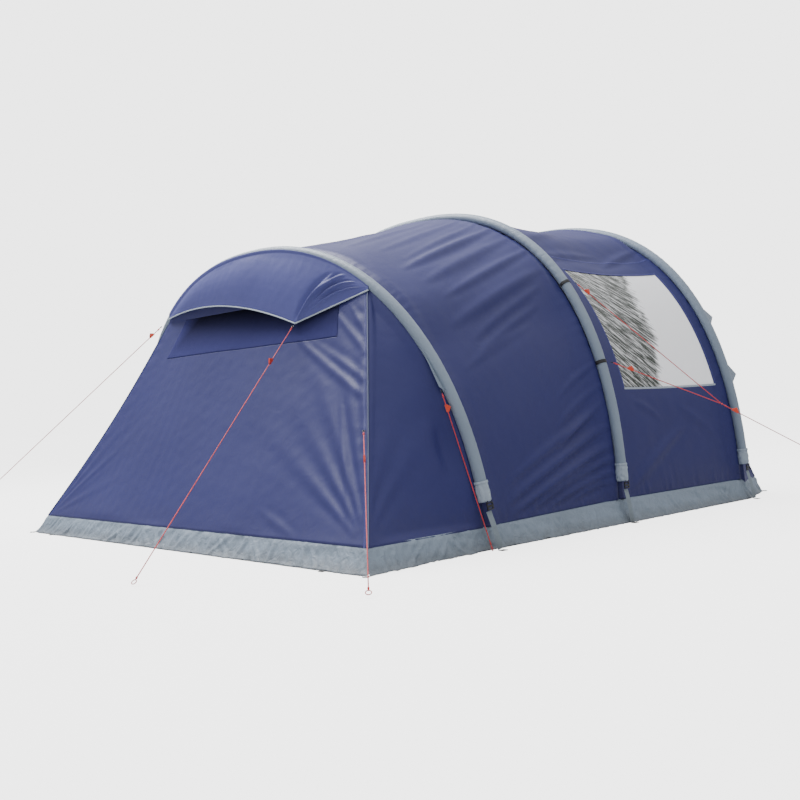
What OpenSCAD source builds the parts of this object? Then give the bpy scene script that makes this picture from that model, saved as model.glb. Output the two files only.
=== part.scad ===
// Tunnel tent on three inflated arch beams, pitched with its guy lines.
// Millimetres. +X is the window side that faces the viewer's right, -Y is the
// front with the canopy, +Z is up. The origin is on the ground, in the middle.

/* [Beams] */
// Half width of the front arch, to the outside of its sleeve
front_half_width = 1670; // [1300:5:2100]
// Half width of the middle arch
middle_half_width = 1640; // [1300:5:2100]
// Half width of the rear arch
rear_half_width = 1650; // [1300:5:2100]
// Height of the front arch, to the top of its sleeve
front_height = 1720; // [1400:5:2100]
// Height of the middle arch
middle_height = 2050; // [1600:5:2500]
// Height of the rear arch
rear_height = 2060; // [1600:5:2500]
// Distance between the feet of the front and middle arches
front_bay = 1210; // [900:5:1600]
// Distance between the feet of the middle and rear arches
rear_bay = 1470; // [1100:5:2000]
// How far the top of the front arch leans forward of its feet
front_lean = 210; // [0:5:300]
// How far the top of the rear arch leans forward of its feet
rear_lean = 200; // [0:5:300]
// Diameter of the air beams
beam_d = 54; // [40:1:90]
// Gap between a beam and its sleeve, all round
sleeve_gap = 2; // [1:0.5:6]
// Thickness of the sleeve cloth with its hems
sleeve_wall = 2; // [1:0.5:4]

/* [Beam ends] */
// Height of the lowest point of the beam-end covers above the ground
end_height = 240; // [150:5:400]
// Length of a beam-end cover
cover_length = 105; // [80:1:160]
// Wall of a beam-end cover
cover_wall = 4; // [2:0.5:8]
// Radius of an inflation valve
valve_r = 14; // [10:0.5:18]
// Height of a valve cap
valve_cap_height = 14; // [10:1:20]
// Width of the ladder-lock buckles
buckle_width = 46; // [36:1:60]
// Length of the ladder-lock buckles
buckle_length = 34; // [24:1:50]
// Width of the ground straps
strap_width = 40; // [25:1:50]

/* [Fly] */
// Thickness of the fly panels
cloth = 3; // [2:0.5:5]
// Height of the mud skirt
hem_height = 110; // [60:5:180]
// Distance from the front arch's feet to the front hem
front_run = 880; // [600:5:1200]
// Distance from the rear arch's feet to the rear hem
rear_run = 510; // [300:5:900]
// Half width of the tent at the front corners
front_corner = 1690; // [1300:5:2100]
// Half width of the tent at the rear corners
rear_corner = 1470; // [1100:5:1900]
// Height where the front corner seams meet the front arch
front_seam_height = 1370; // [1000:5:1550]
// Height where the rear corner seams meet the rear arch
rear_seam_height = 1500; // [1000:5:1800]
// How far the roof dips between the front and middle arches
front_dip = 22; // [0:1:60]
// How far the roof dips between the middle and rear arches
rear_dip = 55; // [0:1:90]
// Thickness of the groundsheet
groundsheet_t = 3; // [2:0.5:6]

/* [Canopy] */
// Sideways place of the guyed tip of the canopy
tip_x = 500; // [300:5:700]
// Distance of the tip in front of the front arch, at the height of the corner seams
tip_out = 123; // [50:1:240]
// Height of the tip
tip_z = 1231; // [1100:1:1300]
// Height that the free edge bows up between the tip and the far end
edge_bow = 92; // [0:1:150]

/* [Window and door] */
// First arch angle of the windows, from the ground
window_low = 19.5; // [15:0.5:25]
// Last arch angle of the windows
window_high = 50; // [40:1:60]
// Thickness of the clear window film
film = 1.5; // [1:0.5:3]
// Gap round a window or a mesh, where it is sewn in
sewn_gap = 2; // [1:0.5:4]
// Gap round the side door, where its zip runs
door_gap = 6; // [4:0.5:10]
// Width of the zip tape
zip_width = 12; // [8:1:20]

/* [Guying] */
// Diameter of the guy lines
guy_d = 5; // [3:0.5:5]
// Diameter of the hole through a runner
runner_hole_d = 6.6; // [4.5:0.1:7]
// Length of a runner
runner_length = 38; // [28:1:50]
// Outer radius of the steel corner rings
ring_r = 17; // [14:0.5:24]
// Radius of the hole in the corner rings, which takes a peg
ring_hole_r = 9; // [6:0.5:11]
// Thickness of the corner rings
ring_t = 5; // [3:0.5:8]

/* [Hidden] */
SIDES = ["right", "left"];

FLY = "#3c4878";
ROOF = "#5b6796";
SLEEVE = "#8f9faf";
SKIRT = "#7d8b99";
BLACK = "#16181c";
CORAL = "#e0473f";
BEAM = "#9aa0a6";
COVER = "#a9b4bf";
CAP = "#2b2e33";
STEEL = "#b9bcc0";
ZINC = "#8c8f94";
CANOPY = "#6b79ab";
PIPING = "#b4c0cc";
CLEAR = "#c8d2d6";
GROUND = "#4a4f57";
ORANGE = "#e8622c";

// Arch beams, from front to rear. The origin is halfway between the two hems.
middle_y = (front_bay + front_run - rear_bay - rear_run) / 2;
half = [front_half_width, middle_half_width, rear_half_width];
tall = [front_height, middle_height, rear_height];
station = [middle_y - front_bay, middle_y, middle_y + rear_bay];
lean = [-front_lean, 0, -rear_lean];
// Roundness of the arches: 2 is an ellipse, more is squarer
round_n = [2.2, 2.4, 2.6];
reference_n = 2.4;
sleeve_r = beam_d / 2 + sleeve_gap + sleeve_wall;
cover_fit = 1.4;
cover_r = sleeve_r + cover_fit + cover_wall;
// The fly runs just inside the sleeves and their end covers, and the end panels inside it
skin_gap = 3;
skin_in = sleeve_r + cover_r + skin_gap;
end_gap = 6;
end_in = skin_in + end_gap;
front_y = station[0] - front_run;
rear_y = station[2] + rear_run;
tube_sides = 12;
arch_steps = 28;
seam_bow = 30;
panel_gap = 2;

// Superellipse: signed power of a sine or cosine
function sup(c, n) = sign(c) * pow(abs(c), 2 / n);
function mix(a, b, t) = a + (b - a) * t;
function unit(v) = v / norm(v);
// Fore-and-aft place of arch k at height z
function arch_y(k, z) = station[k] + lean[k] * z / tall[k];
// Half width of arch k at height z, on a line set in from the sleeve's outside
function arch_x(k, z, inset) = (half[k] - inset)
    * pow(max(0, 1 - pow(z / (tall[k] - inset), round_n[k])), 1 / round_n[k]);
function arch_at(k, z, inset) = [arch_x(k, z, inset), arch_y(k, z), z];
// Arch k at the angle a of its own ellipse
function arch_turn(k, a, inset) =
    let (z = (tall[k] - inset) * sup(sin(a), round_n[k]))
    [(half[k] - inset) * sup(cos(a), round_n[k]), arch_y(k, z), z];
function turn_of(k, z, inset) = asin(pow(z / (tall[k] - inset), round_n[k] / 2));
// A row of the fly: the same share of the height on every arch, never below the hem
function row_at(k, a, inset) =
    let (
        h = tall[k] - inset,
        z = max(hem_height, h * pow(sin(a), 2 / reference_n))
    )
    [sign(cos(a)) * arch_x(k, z, inset), arch_y(k, z), z];
// The way the plane of arch k faces, towards the rear
function arch_normal(k) = unit([0, tall[k], -lean[k]]);

// A normal at each point of a grid of points, from its neighbours
function grid_normal(g, r, c) =
    let (
        down = g[min(r + 1, len(g) - 1)][c] - g[max(r - 1, 0)][c],
        along = g[r][min(c + 1, len(g[0]) - 1)] - g[r][max(c - 1, 0)]
    )
    unit(cross(down, along));
function raised(g, d) = [for (r = [0 : len(g) - 1]) [for (c = [0 : len(g[0]) - 1])
    g[r][c] + d * grid_normal(g, r, c)]];
// Whether a cell is cloth: inside the grid and outside the opening [row, row, column, column]
function is_cloth(r, c, rows, cols, opening) =
    r >= 0 && c >= 0 && r < rows - 1 && c < cols - 1
    && !(len(opening) > 0 && r >= opening[0] && r < opening[1]
        && c >= opening[2] && c < opening[3]);
function is_open(r, c, rows, cols, openings) =
    len([for (o = openings) if (!is_cloth(r, c, rows, cols, o)) 1]) > 0
    || !is_cloth(r, c, rows, cols, []);

// Closed sheet of thickness t whose outer face is the grid g, with rectangular openings
module sheet(g, t, openings = []) {
    rows = len(g);
    cols = len(g[0]);
    inner = raised(g, -t);
    points = concat([for (row = g) each row], [for (row = inner) each row]);
    under = rows * cols;
    function at(r, c) = r * cols + c;
    cells = [for (r = [0 : rows - 2]) for (c = [0 : cols - 2])
        if (!is_open(r, c, rows, cols, openings)) [r, c]];
    faces = [for (cell = cells) let (r = cell[0], c = cell[1],
            p = at(r, c), q = at(r, c + 1), s = at(r + 1, c + 1), w = at(r + 1, c)) each [
        [p, q, s], [p, s, w],
        [under + p, under + s, under + q], [under + p, under + w, under + s],
        if (is_open(r - 1, c, rows, cols, openings)) each rim(q, p, under),
        if (is_open(r + 1, c, rows, cols, openings)) each rim(w, s, under),
        if (is_open(r, c - 1, rows, cols, openings)) each rim(p, w, under),
        if (is_open(r, c + 1, rows, cols, openings)) each rim(s, q, under)
    ]];
    polyhedron(points = points, faces = faces, convexity = 6);
}
// Two triangles that close the edge from a to b of the outer face
function rim(a, b, under) = [[a, b, under + b], [a, under + b, under + a]];

// Ring of points round p, square to t, starting in the direction up
function ring(p, t, up, r, sides) =
    let (side = unit(cross(up, t)), top = unit(cross(t, side)))
    [for (i = [0 : sides - 1]) p + r * (cos(360 * i / sides) * top + sin(360 * i / sides) * side)];
function tangent(path, i) = unit(path[min(i + 1, len(path) - 1)] - path[max(i - 1, 0)]);
function rings(path, up, r, sides) =
    [for (i = [0 : len(path) - 1]) each ring(path[i], tangent(path, i), up, r, sides)];
function wall_faces(count, sides, first, flip) = [for (i = [0 : count - 2]) for (j = [0 : sides - 1])
    let (a = first + i * sides + j, b = first + i * sides + (j + 1) % sides, c = b + sides, d = a + sides)
    each flip ? [[a, c, b], [a, d, c]] : [[a, b, c], [a, c, d]]];

// Solid tube along a path
module tube(path, up, r, sides = tube_sides) {
    n = len(path);
    last = (n - 1) * sides;
    polyhedron(
        points = rings(path, up, r, sides),
        faces = concat(wall_faces(n, sides, 0, false),
            [[for (j = [sides - 1 : -1 : 0]) j], [for (j = [0 : sides - 1]) last + j]]),
        convexity = 4);
}
// Open tube along a path, with a wall
module hollow_tube(path, up, r, wall, sides = tube_sides) {
    n = len(path);
    inner = n * sides;
    last = (n - 1) * sides;
    polyhedron(
        points = concat(rings(path, up, r, sides), rings(path, up, r - wall, sides)),
        faces = concat(
            wall_faces(n, sides, 0, false), wall_faces(n, sides, inner, true),
            [for (j = [0 : sides - 1]) let (k = (j + 1) % sides) each [
                [k, j, inner + j], [k, inner + j, inner + k],
                [last + j, last + k, inner + last + k], [last + j, inner + last + k, inner + last + j]
            ]]),
        convexity = 6);
}
// Flat webbing from p to q, w wide along the direction across
module webbing(p, q, across, w, t) {
    along = unit(q - p);
    side = unit(across - (across * along) * along) * w / 2;
    face = unit(cross(side, along)) * t / 2;
    polyhedron(
        points = [for (e = [p, q]) for (s = [[-1, -1], [1, -1], [1, 1], [-1, 1]])
            e + s[0] * side + s[1] * face],
        faces = [[0, 3, 2, 1], [4, 5, 6, 7], [0, 1, 5, 4], [1, 2, 6, 5], [2, 3, 7, 6], [3, 0, 4, 7]]);
}

// ---- Beams, sleeves and their ends ----

function beam_path(k, z) =
    let (low = turn_of(k, z, sleeve_r))
    [for (i = [0 : arch_steps]) arch_turn(k, mix(low, 180 - low, i / arch_steps), sleeve_r)];
// The valve hangs from the right end of each beam, inside the cover
cap_floor = 10;
valve_height = 18;
valve_gap = 1;
cap_gap = 0.3;
cap_rim = 3;
beam_end = end_height + cap_floor + valve_cap_height + valve_height;
sleeve_overlap = 45;

module beam(k) {
    color(BEAM) tube(beam_path(k, beam_end), arch_normal(k), beam_d / 2);
}
module sleeve(k) {
    color(SLEEVE) hollow_tube(beam_path(k, end_height + cover_length - sleeve_overlap),
        arch_normal(k), sleeve_r, sleeve_wall);
}
// Frame of the right-hand end of arch k: Z up the beam, X outwards, origin at the cover's floor
module at_beam_end(k) {
    foot = arch_at(k, end_height, sleeve_r);
    up = unit(arch_at(k, end_height + cover_length, sleeve_r) - foot);
    out = unit(cross(arch_normal(k), up));
    back = cross(up, out);
    multmatrix([
        [out[0], back[0], up[0], foot[0]],
        [out[1], back[1], up[1], foot[1]],
        [out[2], back[2], up[2], foot[2]]
    ]) children();
}
module on_side(s) {
    mirror([s == "left" ? 1 : 0, 0, 0]) children();
}
ear_gap = 0.5;
ear_t = 5;
pin_r = 3;
pin_drop = 8;
ear_wall = 3;
pin_out = cover_r - 8;
floor_t = 6;
module end_cover(k) {
    at_beam_end(k) {
        difference() {
            cylinder(r = cover_r, h = cover_length, $fn = 48);
            translate([0, 0, floor_t])
                cylinder(r = sleeve_r + cover_fit, h = cover_length, $fn = 48);
        }
        for (s = [-1, 1])
            translate([pin_out, s * (buckle_width / 2 - ear_t * 1.5 - ear_gap), -pin_drop / 2])
                difference() {
                    cube([2 * (pin_r + ear_wall), ear_t, pin_drop + 2 * (pin_r + ear_wall)], center = true);
                    translate([0, 0, -pin_drop / 2])
                        rotate([90, 0, 0])
                            cylinder(r = pin_r + ear_gap, h = ear_t + 2, center = true, $fn = 24);
                }
    }
}
module end_covers(k) {
    color(COVER) for (s = SIDES) on_side(s) end_cover(k);
}
module valve(k) {
    at_beam_end(k) translate([0, 0, cap_floor + valve_cap_height])
        cylinder(r = valve_r, h = valve_height - valve_gap, $fn = 32);
}
module valves() {
    color(BLACK) for (k = [0 : 2]) valve(k);
}
module valve_cap(k) {
    color(CAP) at_beam_end(k) translate([0, 0, cap_floor - cap_gap])
        cylinder(r = valve_r + cap_rim, h = valve_cap_height, $fn = 32);
}
// Ladder-lock buckle: it tips outwards about its pin to let the strap slip
bar_t = 6;
slot_h = 6;
plate_gap = 7;
module buckle(k, s) {
    color(BLACK) on_side(s) at_beam_end(k) translate([pin_out, 0, -pin_drop]) {
        rotate([90, 0, 0]) cylinder(r = pin_r, h = buckle_width, center = true, $fn = 24);
        translate([-bar_t / 2, -buckle_width / 2, -buckle_length])
            difference() {
                cube([bar_t, buckle_width, buckle_length - pin_r - plate_gap]);
                translate([-1, bar_t, bar_t]) cube([bar_t + 2, buckle_width - 2 * bar_t, slot_h]);
            }
        for (e = [-1, 1])
            translate([-bar_t / 2, e * (buckle_width - ear_t) / 2 - ear_t / 2, -buckle_length / 2])
                cube([bar_t, ear_t, buckle_length / 2]);
    }
}
// Ground strap from under the buckle to the tab at the hem
strap_t = 2;
foot_out = 22;
strap_foot_z = 6;
strap_in = 6;
strap_gap = 4;
module ground_straps() {
    color(SKIRT) for (k = [0 : 2]) for (s = SIDES) on_side(s) {
        top = arch_at(k, end_height, sleeve_r);
        foot = [half[k] + foot_out, station[k], strap_foot_z];
        start = [top[0] + pin_out - strap_in, top[1], top[2] - pin_drop - buckle_length - strap_gap];
        webbing(start, foot, [0, 1, 0], strap_width, strap_t);
    }
}
tab_t = 3;
tab_length = 30;
tab_gap = 6;
hem_tab_share = 0.82;
module peg_tabs() {
    color(BLACK) {
        for (k = [0 : 2]) for (s = SIDES) on_side(s)
            translate([half[k] + foot_out + strap_t, station[k] - strap_width / 2, 0])
                cube([tab_length, strap_width, tab_t]);
        for (s = SIDES) on_side(s) {
            translate([front_corner * hem_tab_share, front_y - tab_length - tab_gap, 0])
                cube([tab_length, tab_length, tab_t]);
            translate([rear_corner * hem_tab_share, rear_y + tab_gap, 0])
                cube([tab_length, tab_length, tab_t]);
        }
    }
}
ring_out = ring_r + 4;
// The front rings lie forward, clear of the corner guys above them
front_ring_turn = -70;
rear_ring_turn = 45;
module corner_rings() {
    color(STEEL) for (s = SIDES) on_side(s)
        for (c = [[front_corner, front_y, front_ring_turn], [rear_corner, rear_y, rear_ring_turn]])
            translate([c[0], c[1], 0]) rotate([0, 0, c[2]]) translate([ring_out, 0, 0])
                difference() {
                    cylinder(r = ring_r, h = ring_t, $fn = 48);
                    translate([0, 0, -1]) cylinder(r = ring_hole_r, h = ring_t + 2, $fn = 48);
                }
}

// ---- Fly over the two bays ----

half_rows = [0, 3, 8, 13.5, window_low, 27, 35, 43, window_high, 58, 67, 78];
rows = concat(half_rows, [90], [for (i = [len(half_rows) - 1 : -1 : 0]) 180 - half_rows[i]]);
last_row = len(rows) - 1;
front_columns = [0, 0.11, 0.22, 0.4, 0.58, 0.76, 0.88, 1];
rear_columns = [0, 0.09, 0.18, 0.36, 0.55, 0.74, 0.92, 1];
window_rows = [4, 8];
window_columns = [2, 6];
door_rows = [1, 8];
door_columns = [2, 5];
// The roof dips between two arches; the left wall of the front bay stays straight for its door
function dip(k, a) = (k == 0 ? front_dip * (a < 120 ? 1 : max(0, (150 - a) / 30)) : rear_dip)
    * pow(sin(a), 0.8);
function fly_at(k, a, u) =
    let (
        p = mix(row_at(k, a, skin_in), row_at(k + 1, a, skin_in), u),
        inward = unit([-p[0] / half[k], 0, -p[2] / tall[k]])
    )
    p + inward * dip(k, a) * 4 * u * (1 - u);
function fly_grid(k, angles, columns) = [for (a = angles) [for (u = columns) fly_at(k, a, u)]];
// Length of an arch over its height, roughly
girth_share = 3.2;
// Part of a fly grid, drawn in by a gap along the cloth on all four sides
function inner_angles(angles, gap, k) =
    let (n = len(angles) - 1, d = gap * 180 / (girth_share * tall[k]))
    [for (i = [0 : n]) angles[i] + (i == 0 ? d : i == n ? -d : 0) * sign(angles[n] - angles[0])];
function inner_columns(columns, gap, length) =
    let (n = len(columns) - 1, d = gap / length)
    [for (i = [0 : n]) columns[i] + (i == 0 ? d : i == n ? -d : 0)];
function slice(list, a, b) = [for (i = [a : b]) list[i]];
function mirrored_rows(a, b) = [last_row - b, last_row - a];
bay = [front_bay, rear_bay];
// Butted edges stop short by this share of a bay
function butted(columns, length) = inner_columns(columns, panel_gap / 2, length);

left_door = mirrored_rows(door_rows[0], door_rows[1]);
left_window = mirrored_rows(window_rows[0], window_rows[1]);
module front_bay_fly() {
    color(ROOF) sheet(fly_grid(0, rows, butted(front_columns, front_bay)), cloth,
        [[left_door[0], left_door[1], door_columns[0], door_columns[1]]]);
}
module rear_bay_fly() {
    color(ROOF) sheet(fly_grid(1, rows, butted(rear_columns, rear_bay)), cloth, [
        [window_rows[0], window_rows[1], window_columns[0], window_columns[1]],
        [left_window[0], left_window[1], window_columns[0], window_columns[1]]
    ]);
}
module window(s) {
    range = s == "right" ? window_rows : left_window;
    color(CLEAR, 0.5) sheet(fly_grid(1,
        inner_angles(slice(rows, range[0], range[1]), sewn_gap, 1),
        inner_columns(slice(rear_columns, window_columns[0], window_columns[1]), sewn_gap, rear_bay)),
        film);
}
// The door drops outwards about its lower edge
module side_door() {
    angles = inner_angles(slice(rows, left_door[0], left_door[1]), door_gap, 0);
    color(FLY) sheet(fly_grid(0, angles,
        inner_columns(slice(front_columns, door_columns[0], door_columns[1]), door_gap, front_bay)),
        cloth);
}
// Zip tape above the door, on the outside of the fly
zip_up = 22;
zip_t = 2;
function zip_line(u) =
    let (
        a = 180 - window_high,
        p = fly_at(0, a, u),
        up = unit(fly_at(0, a - 5, u) - p),
        out = unit(cross(up, [0, 1, 0]))
    )
    [p, up, [out[0] < 0 ? out[0] : -out[0], 0, abs(out[2])]];
zip_a = zip_line(front_columns[door_columns[0]]);
zip_b = zip_line(front_columns[door_columns[1]]);
zip_lift = 5;
zip_from = zip_a[0] + zip_up * zip_a[1] + zip_lift * zip_a[2];
zip_to = zip_b[0] + zip_up * zip_b[1] + zip_lift * zip_b[2];
module door_zip() {
    color(BLACK) webbing(zip_from, zip_to, zip_a[1], zip_width, zip_t);
}
slider_length = 18;
slider_rise = 5;
slider_gap = 0.4;
slider_start = 8;
puller = [32, 7, 2];
module zip_slider() {
    along = unit(zip_to - zip_from);
    start = zip_from + slider_start * along + ((zip_t + slider_rise) / 2 + slider_gap) * zip_a[2];
    color(ZINC) {
        webbing(start, start + slider_length * along, zip_a[1], zip_width - 2, slider_rise);
        webbing(start + (slider_length + 0.01) * along,
            start + (slider_length + puller[0]) * along, zip_a[1], puller[1], puller[2]);
    }
}

// ---- End panels: front slope, rear slope and the side walls beside them ----

seam_top_z = [front_seam_height, undef, rear_seam_height];
corner_x = [front_corner, undef, rear_corner];
hem_y = [front_y, undef, rear_y];
// -1 for the front end and 1 for the rear end
way = [-1, 0, 1];
// Corner seam of end k at height z: straight in plan, bowed in a little
function seam_at(k, z) =
    let (t = z / seam_top_z[k], top = arch_at(k, seam_top_z[k], end_in), bow = seam_bow * sin(180 * t))
    [mix(corner_x[k], top[0], t) - bow, mix(hem_y[k], top[1] + way[k] * end_gap, t) - way[k] * bow, z];
// Edge of the end panel: up the corner seam, then under the arch
function end_edge(k, z) = z <= seam_top_z[k] ? seam_at(k, z)
    : arch_at(k, z, end_in) + [0, way[k] * end_gap, 0];
front_levels = [hem_height, 300, 520, 740, 960, 1130, 1250, front_seam_height, 1450, 1530, 1590];
rear_levels = [hem_height, 300, 520, 740, 960, 1150, 1330, rear_seam_height, 1640, 1780, 1880, 1940];
end_columns = [-1, -0.78, -0.52, -0.26, 0, 0.26, 0.52, 0.78, 1];
mesh_rows = [5, 7];
mesh_columns = [1, 7];
function scaled_levels(k, levels) = [for (z = levels)
    z <= seam_top_z[k] ? z : mix(seam_top_z[k], tall[k] - end_in - 50,
        (z - seam_top_z[k]) / (levels[len(levels) - 1] - seam_top_z[k]))];
function end_grid(k, levels, columns) = [for (z = levels)
    let (e = end_edge(k, z), w = e[0] - panel_gap)
    [for (c = columns) [-way[k] * c * w, e[1], z]]];
module end_panel(k, levels, openings = []) {
    sheet(end_grid(k, scaled_levels(k, levels), end_columns), cloth, openings);
}
module front_panel() {
    color(FLY) end_panel(0, front_levels,
        [[mesh_rows[0], mesh_rows[1], mesh_columns[0], mesh_columns[1]]]);
}
module rear_panel() {
    color(FLY) end_panel(2, rear_levels);
}
module front_vent_mesh() {
    levels = slice(front_levels, mesh_rows[0], mesh_rows[1]);
    n = len(levels) - 1;
    z = [for (i = [0 : n]) levels[i] + (i == 0 ? sewn_gap : i == n ? -sewn_gap : 0)];
    w = 1 - 4 * sewn_gap / front_corner;
    color(BLACK) sheet(end_grid(0, z, [for (c = slice(end_columns, mesh_columns[0], mesh_columns[1]))
        c * w]), cloth / 2);
}
// Side wall between a corner seam and its arch
side_steps = 7;
side_columns = 3;
// The walls stop this far below the top of the seam
side_top_gap = 40;
piping_top_gap = 60;
function side_grid(k) = [for (i = [0 : side_steps])
    let (
        z = mix(hem_height, seam_top_z[k] - side_top_gap, i / side_steps),
        a = seam_at(k, z) - [0, way[k] * panel_gap * 2, 0],
        b = arch_at(k, z, skin_in) + [0, way[k] * panel_gap, 0]
    )
    [for (j = [0 : side_columns]) mix(way[k] < 0 ? a : b, way[k] < 0 ? b : a, j / side_columns)]];
function turned(g) = [for (i = [len(g) - 1 : -1 : 0]) g[i]];
module side_panels(k) {
    color(FLY) for (s = SIDES) on_side(s) sheet(turned(side_grid(k)), cloth);
}

// ---- Canopy ----

canopy_columns = 14;
canopy_rows = [0, 0.3, 0.65, 1];
canopy_front = 26;
canopy_from = turn_of(0, front_seam_height, skin_in) + 1;
function canopy_top(s) =
    arch_turn(0, mix(canopy_from, 180 - canopy_from, s), skin_in) - [0, canopy_front, 0];
tip = [tip_x, arch_y(0, front_seam_height) - tip_out, tip_z];
tip_share = 0.25;
end_drop = [8, -6, -14];
near_end = canopy_top(0) + end_drop;
far_end = canopy_top(1) + [-end_drop[0], end_drop[1], end_drop[2]];
// How far the free edge sweeps forward, and how far the cloth swells forward and up
edge_sweep = 24;
swell_out = 22;
swell_up = 14;
// Free edge of the canopy: straight to the guyed tip, then bowed up to the far end
function canopy_edge(s) = s <= tip_share ? mix(near_end, tip, s / tip_share)
    : let (t = (s - tip_share) / (1 - tip_share))
      mix(tip, far_end, t) + [0, -edge_sweep * sin(180 * t), edge_bow * 4 * t * (1 - t)];
function canopy_at(s, v) = mix(canopy_top(s), canopy_edge(s), v)
    + sin(180 * v) * sin(180 * s) * [0, -swell_out, swell_up];
canopy_shares = concat([0, 0.08, 0.17, tip_share], [for (i = [1 : canopy_columns - 4])
    mix(tip_share, 1, i / (canopy_columns - 4))]);
module canopy() {
    color(CANOPY) sheet([for (v = canopy_rows) [for (s = canopy_shares) canopy_at(s, v)]], cloth);
}
piping_r = 3;
piping_out = piping_r + 1;
module piping() {
    color(PIPING) {
        tube([for (s = canopy_shares) canopy_edge(s) + [0, -2, -piping_out - 1]],
            [0, -1, 0.2], piping_r, 8);
        for (k = [0, 2]) for (s = SIDES) on_side(s)
            tube([for (i = [0 : 6])
                seam_at(k, mix(hem_height + piping_out, seam_top_z[k] - piping_top_gap, i / 6))
                    + piping_out * unit([1, way[k], 0.4])],
                [1, 0, 0], piping_r, 8);
    }
}

// ---- Mud skirt and groundsheet ----

// The hem runs a little inside or outside the half width of each arch
hem_out = [-30, 8, -18];
hem_foot = [for (k = [0 : 2]) half[k] + hem_out[k]];
right_hem = [
    [front_corner, front_y, 0], [hem_foot[0], station[0], 0], [hem_foot[1], station[1], 0],
    [hem_foot[2], station[2], 0], [rear_corner, rear_y, 0]
];
skirt_top = hem_height - 3;
right_top = [
    seam_at(0, skirt_top), arch_at(0, skirt_top, skin_in), arch_at(1, skirt_top, skin_in),
    arch_at(2, skirt_top, skin_in), seam_at(2, skirt_top)
];
skirt_cuts = 5;
skirt_t = 3;
corner_gap = 5;
function subdivided(path, cuts) = concat(
    [for (i = [0 : len(path) - 2]) for (j = [0 : cuts - 1]) mix(path[i], path[i + 1], j / cuts)],
    [path[len(path) - 1]]);
// The path without the last few millimetres at each end
function trimmed(path, d) =
    let (n = len(path) - 1)
    [for (i = [0 : n]) i == 0 ? path[0] + d * unit(path[1] - path[0])
        : i == n ? path[n] + d * unit(path[n - 1] - path[n]) : path[i]];
module skirt(top, hem) {
    color(SKIRT) sheet([
        trimmed(subdivided(hem, skirt_cuts), corner_gap),
        trimmed(subdivided(mix(hem, top, 0.5), skirt_cuts), corner_gap),
        trimmed(subdivided(top, skirt_cuts), corner_gap)
    ], skirt_t);
}
module skirt_right() {
    skirt(right_top, right_hem);
}
module skirt_left() {
    mirror([1, 0, 0]) skirt_right();
}
module end_skirt(k) {
    top = seam_at(k, skirt_top);
    ends = [-way[k], way[k]];
    skirt([for (s = ends) [-s * top[0], top[1], top[2]]],
        [for (s = ends) [-s * corner_x[k], hem_y[k], 0]]);
}
sheet_in = 100;
end_cut = 90;
module groundsheet() {
    outline = [for (p = right_hem) [p[0] - sheet_in, p[1]]];
    inner = [for (p = outline) [p[0], min(rear_y - end_cut, max(front_y + end_cut, p[1]))]];
    color(GROUND) linear_extrude(groundsheet_t)
        polygon(concat(inner, [for (i = [len(inner) - 1 : -1 : 0]) [-inner[i][0], inner[i][1]]]));
}

// ---- Guy tabs, bands and rings ----

tab_plate = 3;
sewn_lift = 0.6;
front_tab_z = [800, 1030];
front_tab_reach = 34;
rear_tab_half = 90;
rear_tab_reach = 110;
module front_tab() {
    high = arch_at(0, front_tab_z[1], sleeve_r);
    low = arch_at(0, front_tab_z[0], sleeve_r);
    front = -sleeve_r - sewn_lift;
    point = mix(high, low, 0.9) + [8, front - front_tab_reach, 0];
    tab_plate_at([high + [0, front, 0], low + [0, front, 0], point]);
}
module rear_tab(z) {
    high = arch_at(2, z + rear_tab_half, sleeve_r);
    low = arch_at(2, z - rear_tab_half, sleeve_r);
    rear = sleeve_r + sewn_lift;
    point = mix(low, high, 0.45) + [2, rear + rear_tab_reach, 0];
    tab_plate_at([low + [0, rear, 0], high + [0, rear, 0], point]);
}
// Flat triangle of cloth through three points
module tab_plate_at(p) {
    n = unit(cross(p[1] - p[0], p[2] - p[0])) * tab_plate / 2;
    polyhedron(
        points = [p[0] - n, p[1] - n, p[2] - n, p[0] + n, p[1] + n, p[2] + n],
        faces = [[0, 1, 2], [5, 4, 3], [0, 3, 4, 1], [1, 4, 5, 2], [2, 5, 3, 0]]);
}
rear_tab_heights = [1276, 867];
module guy_tabs() {
    color(SLEEVE) for (s = SIDES) on_side(s) {
        front_tab();
        for (z = rear_tab_heights) rear_tab(z);
    }
}
band_heights = [1438, 943];
band_t = 2;
band_width = 22;
band_gap = 1;
// The band is cut off this far out from the beam, where the fly is
band_cut = -3.5;
// Black webbing band round the outside of the middle sleeve
module band(z) {
    p = arch_at(1, z, sleeve_r);
    up = unit(arch_at(1, z + 10, sleeve_r) - p);
    out = unit(cross([0, 1, 0], up));
    multmatrix([
        [out[0], 0, up[0], p[0]],
        [out[1], 1, up[1], p[1]],
        [out[2], 0, up[2], p[2]]
    ]) intersection() {
        difference() {
            cylinder(r = sleeve_r + band_gap + band_t, h = band_width, center = true, $fn = 48);
            cylinder(r = sleeve_r + band_gap, h = band_width + 2, center = true, $fn = 48);
        }
        translate([band_cut, -sleeve_r * 2, -band_width])
            cube([sleeve_r * 3, sleeve_r * 4, band_width * 2]);
    }
}
module middle_bands() {
    color(BLACK) for (s = SIDES) on_side(s) for (z = band_heights) band(z);
}

// ---- Guy lines: straight, taut runs from [top, foot], each with a loop at its lower end ----

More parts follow.
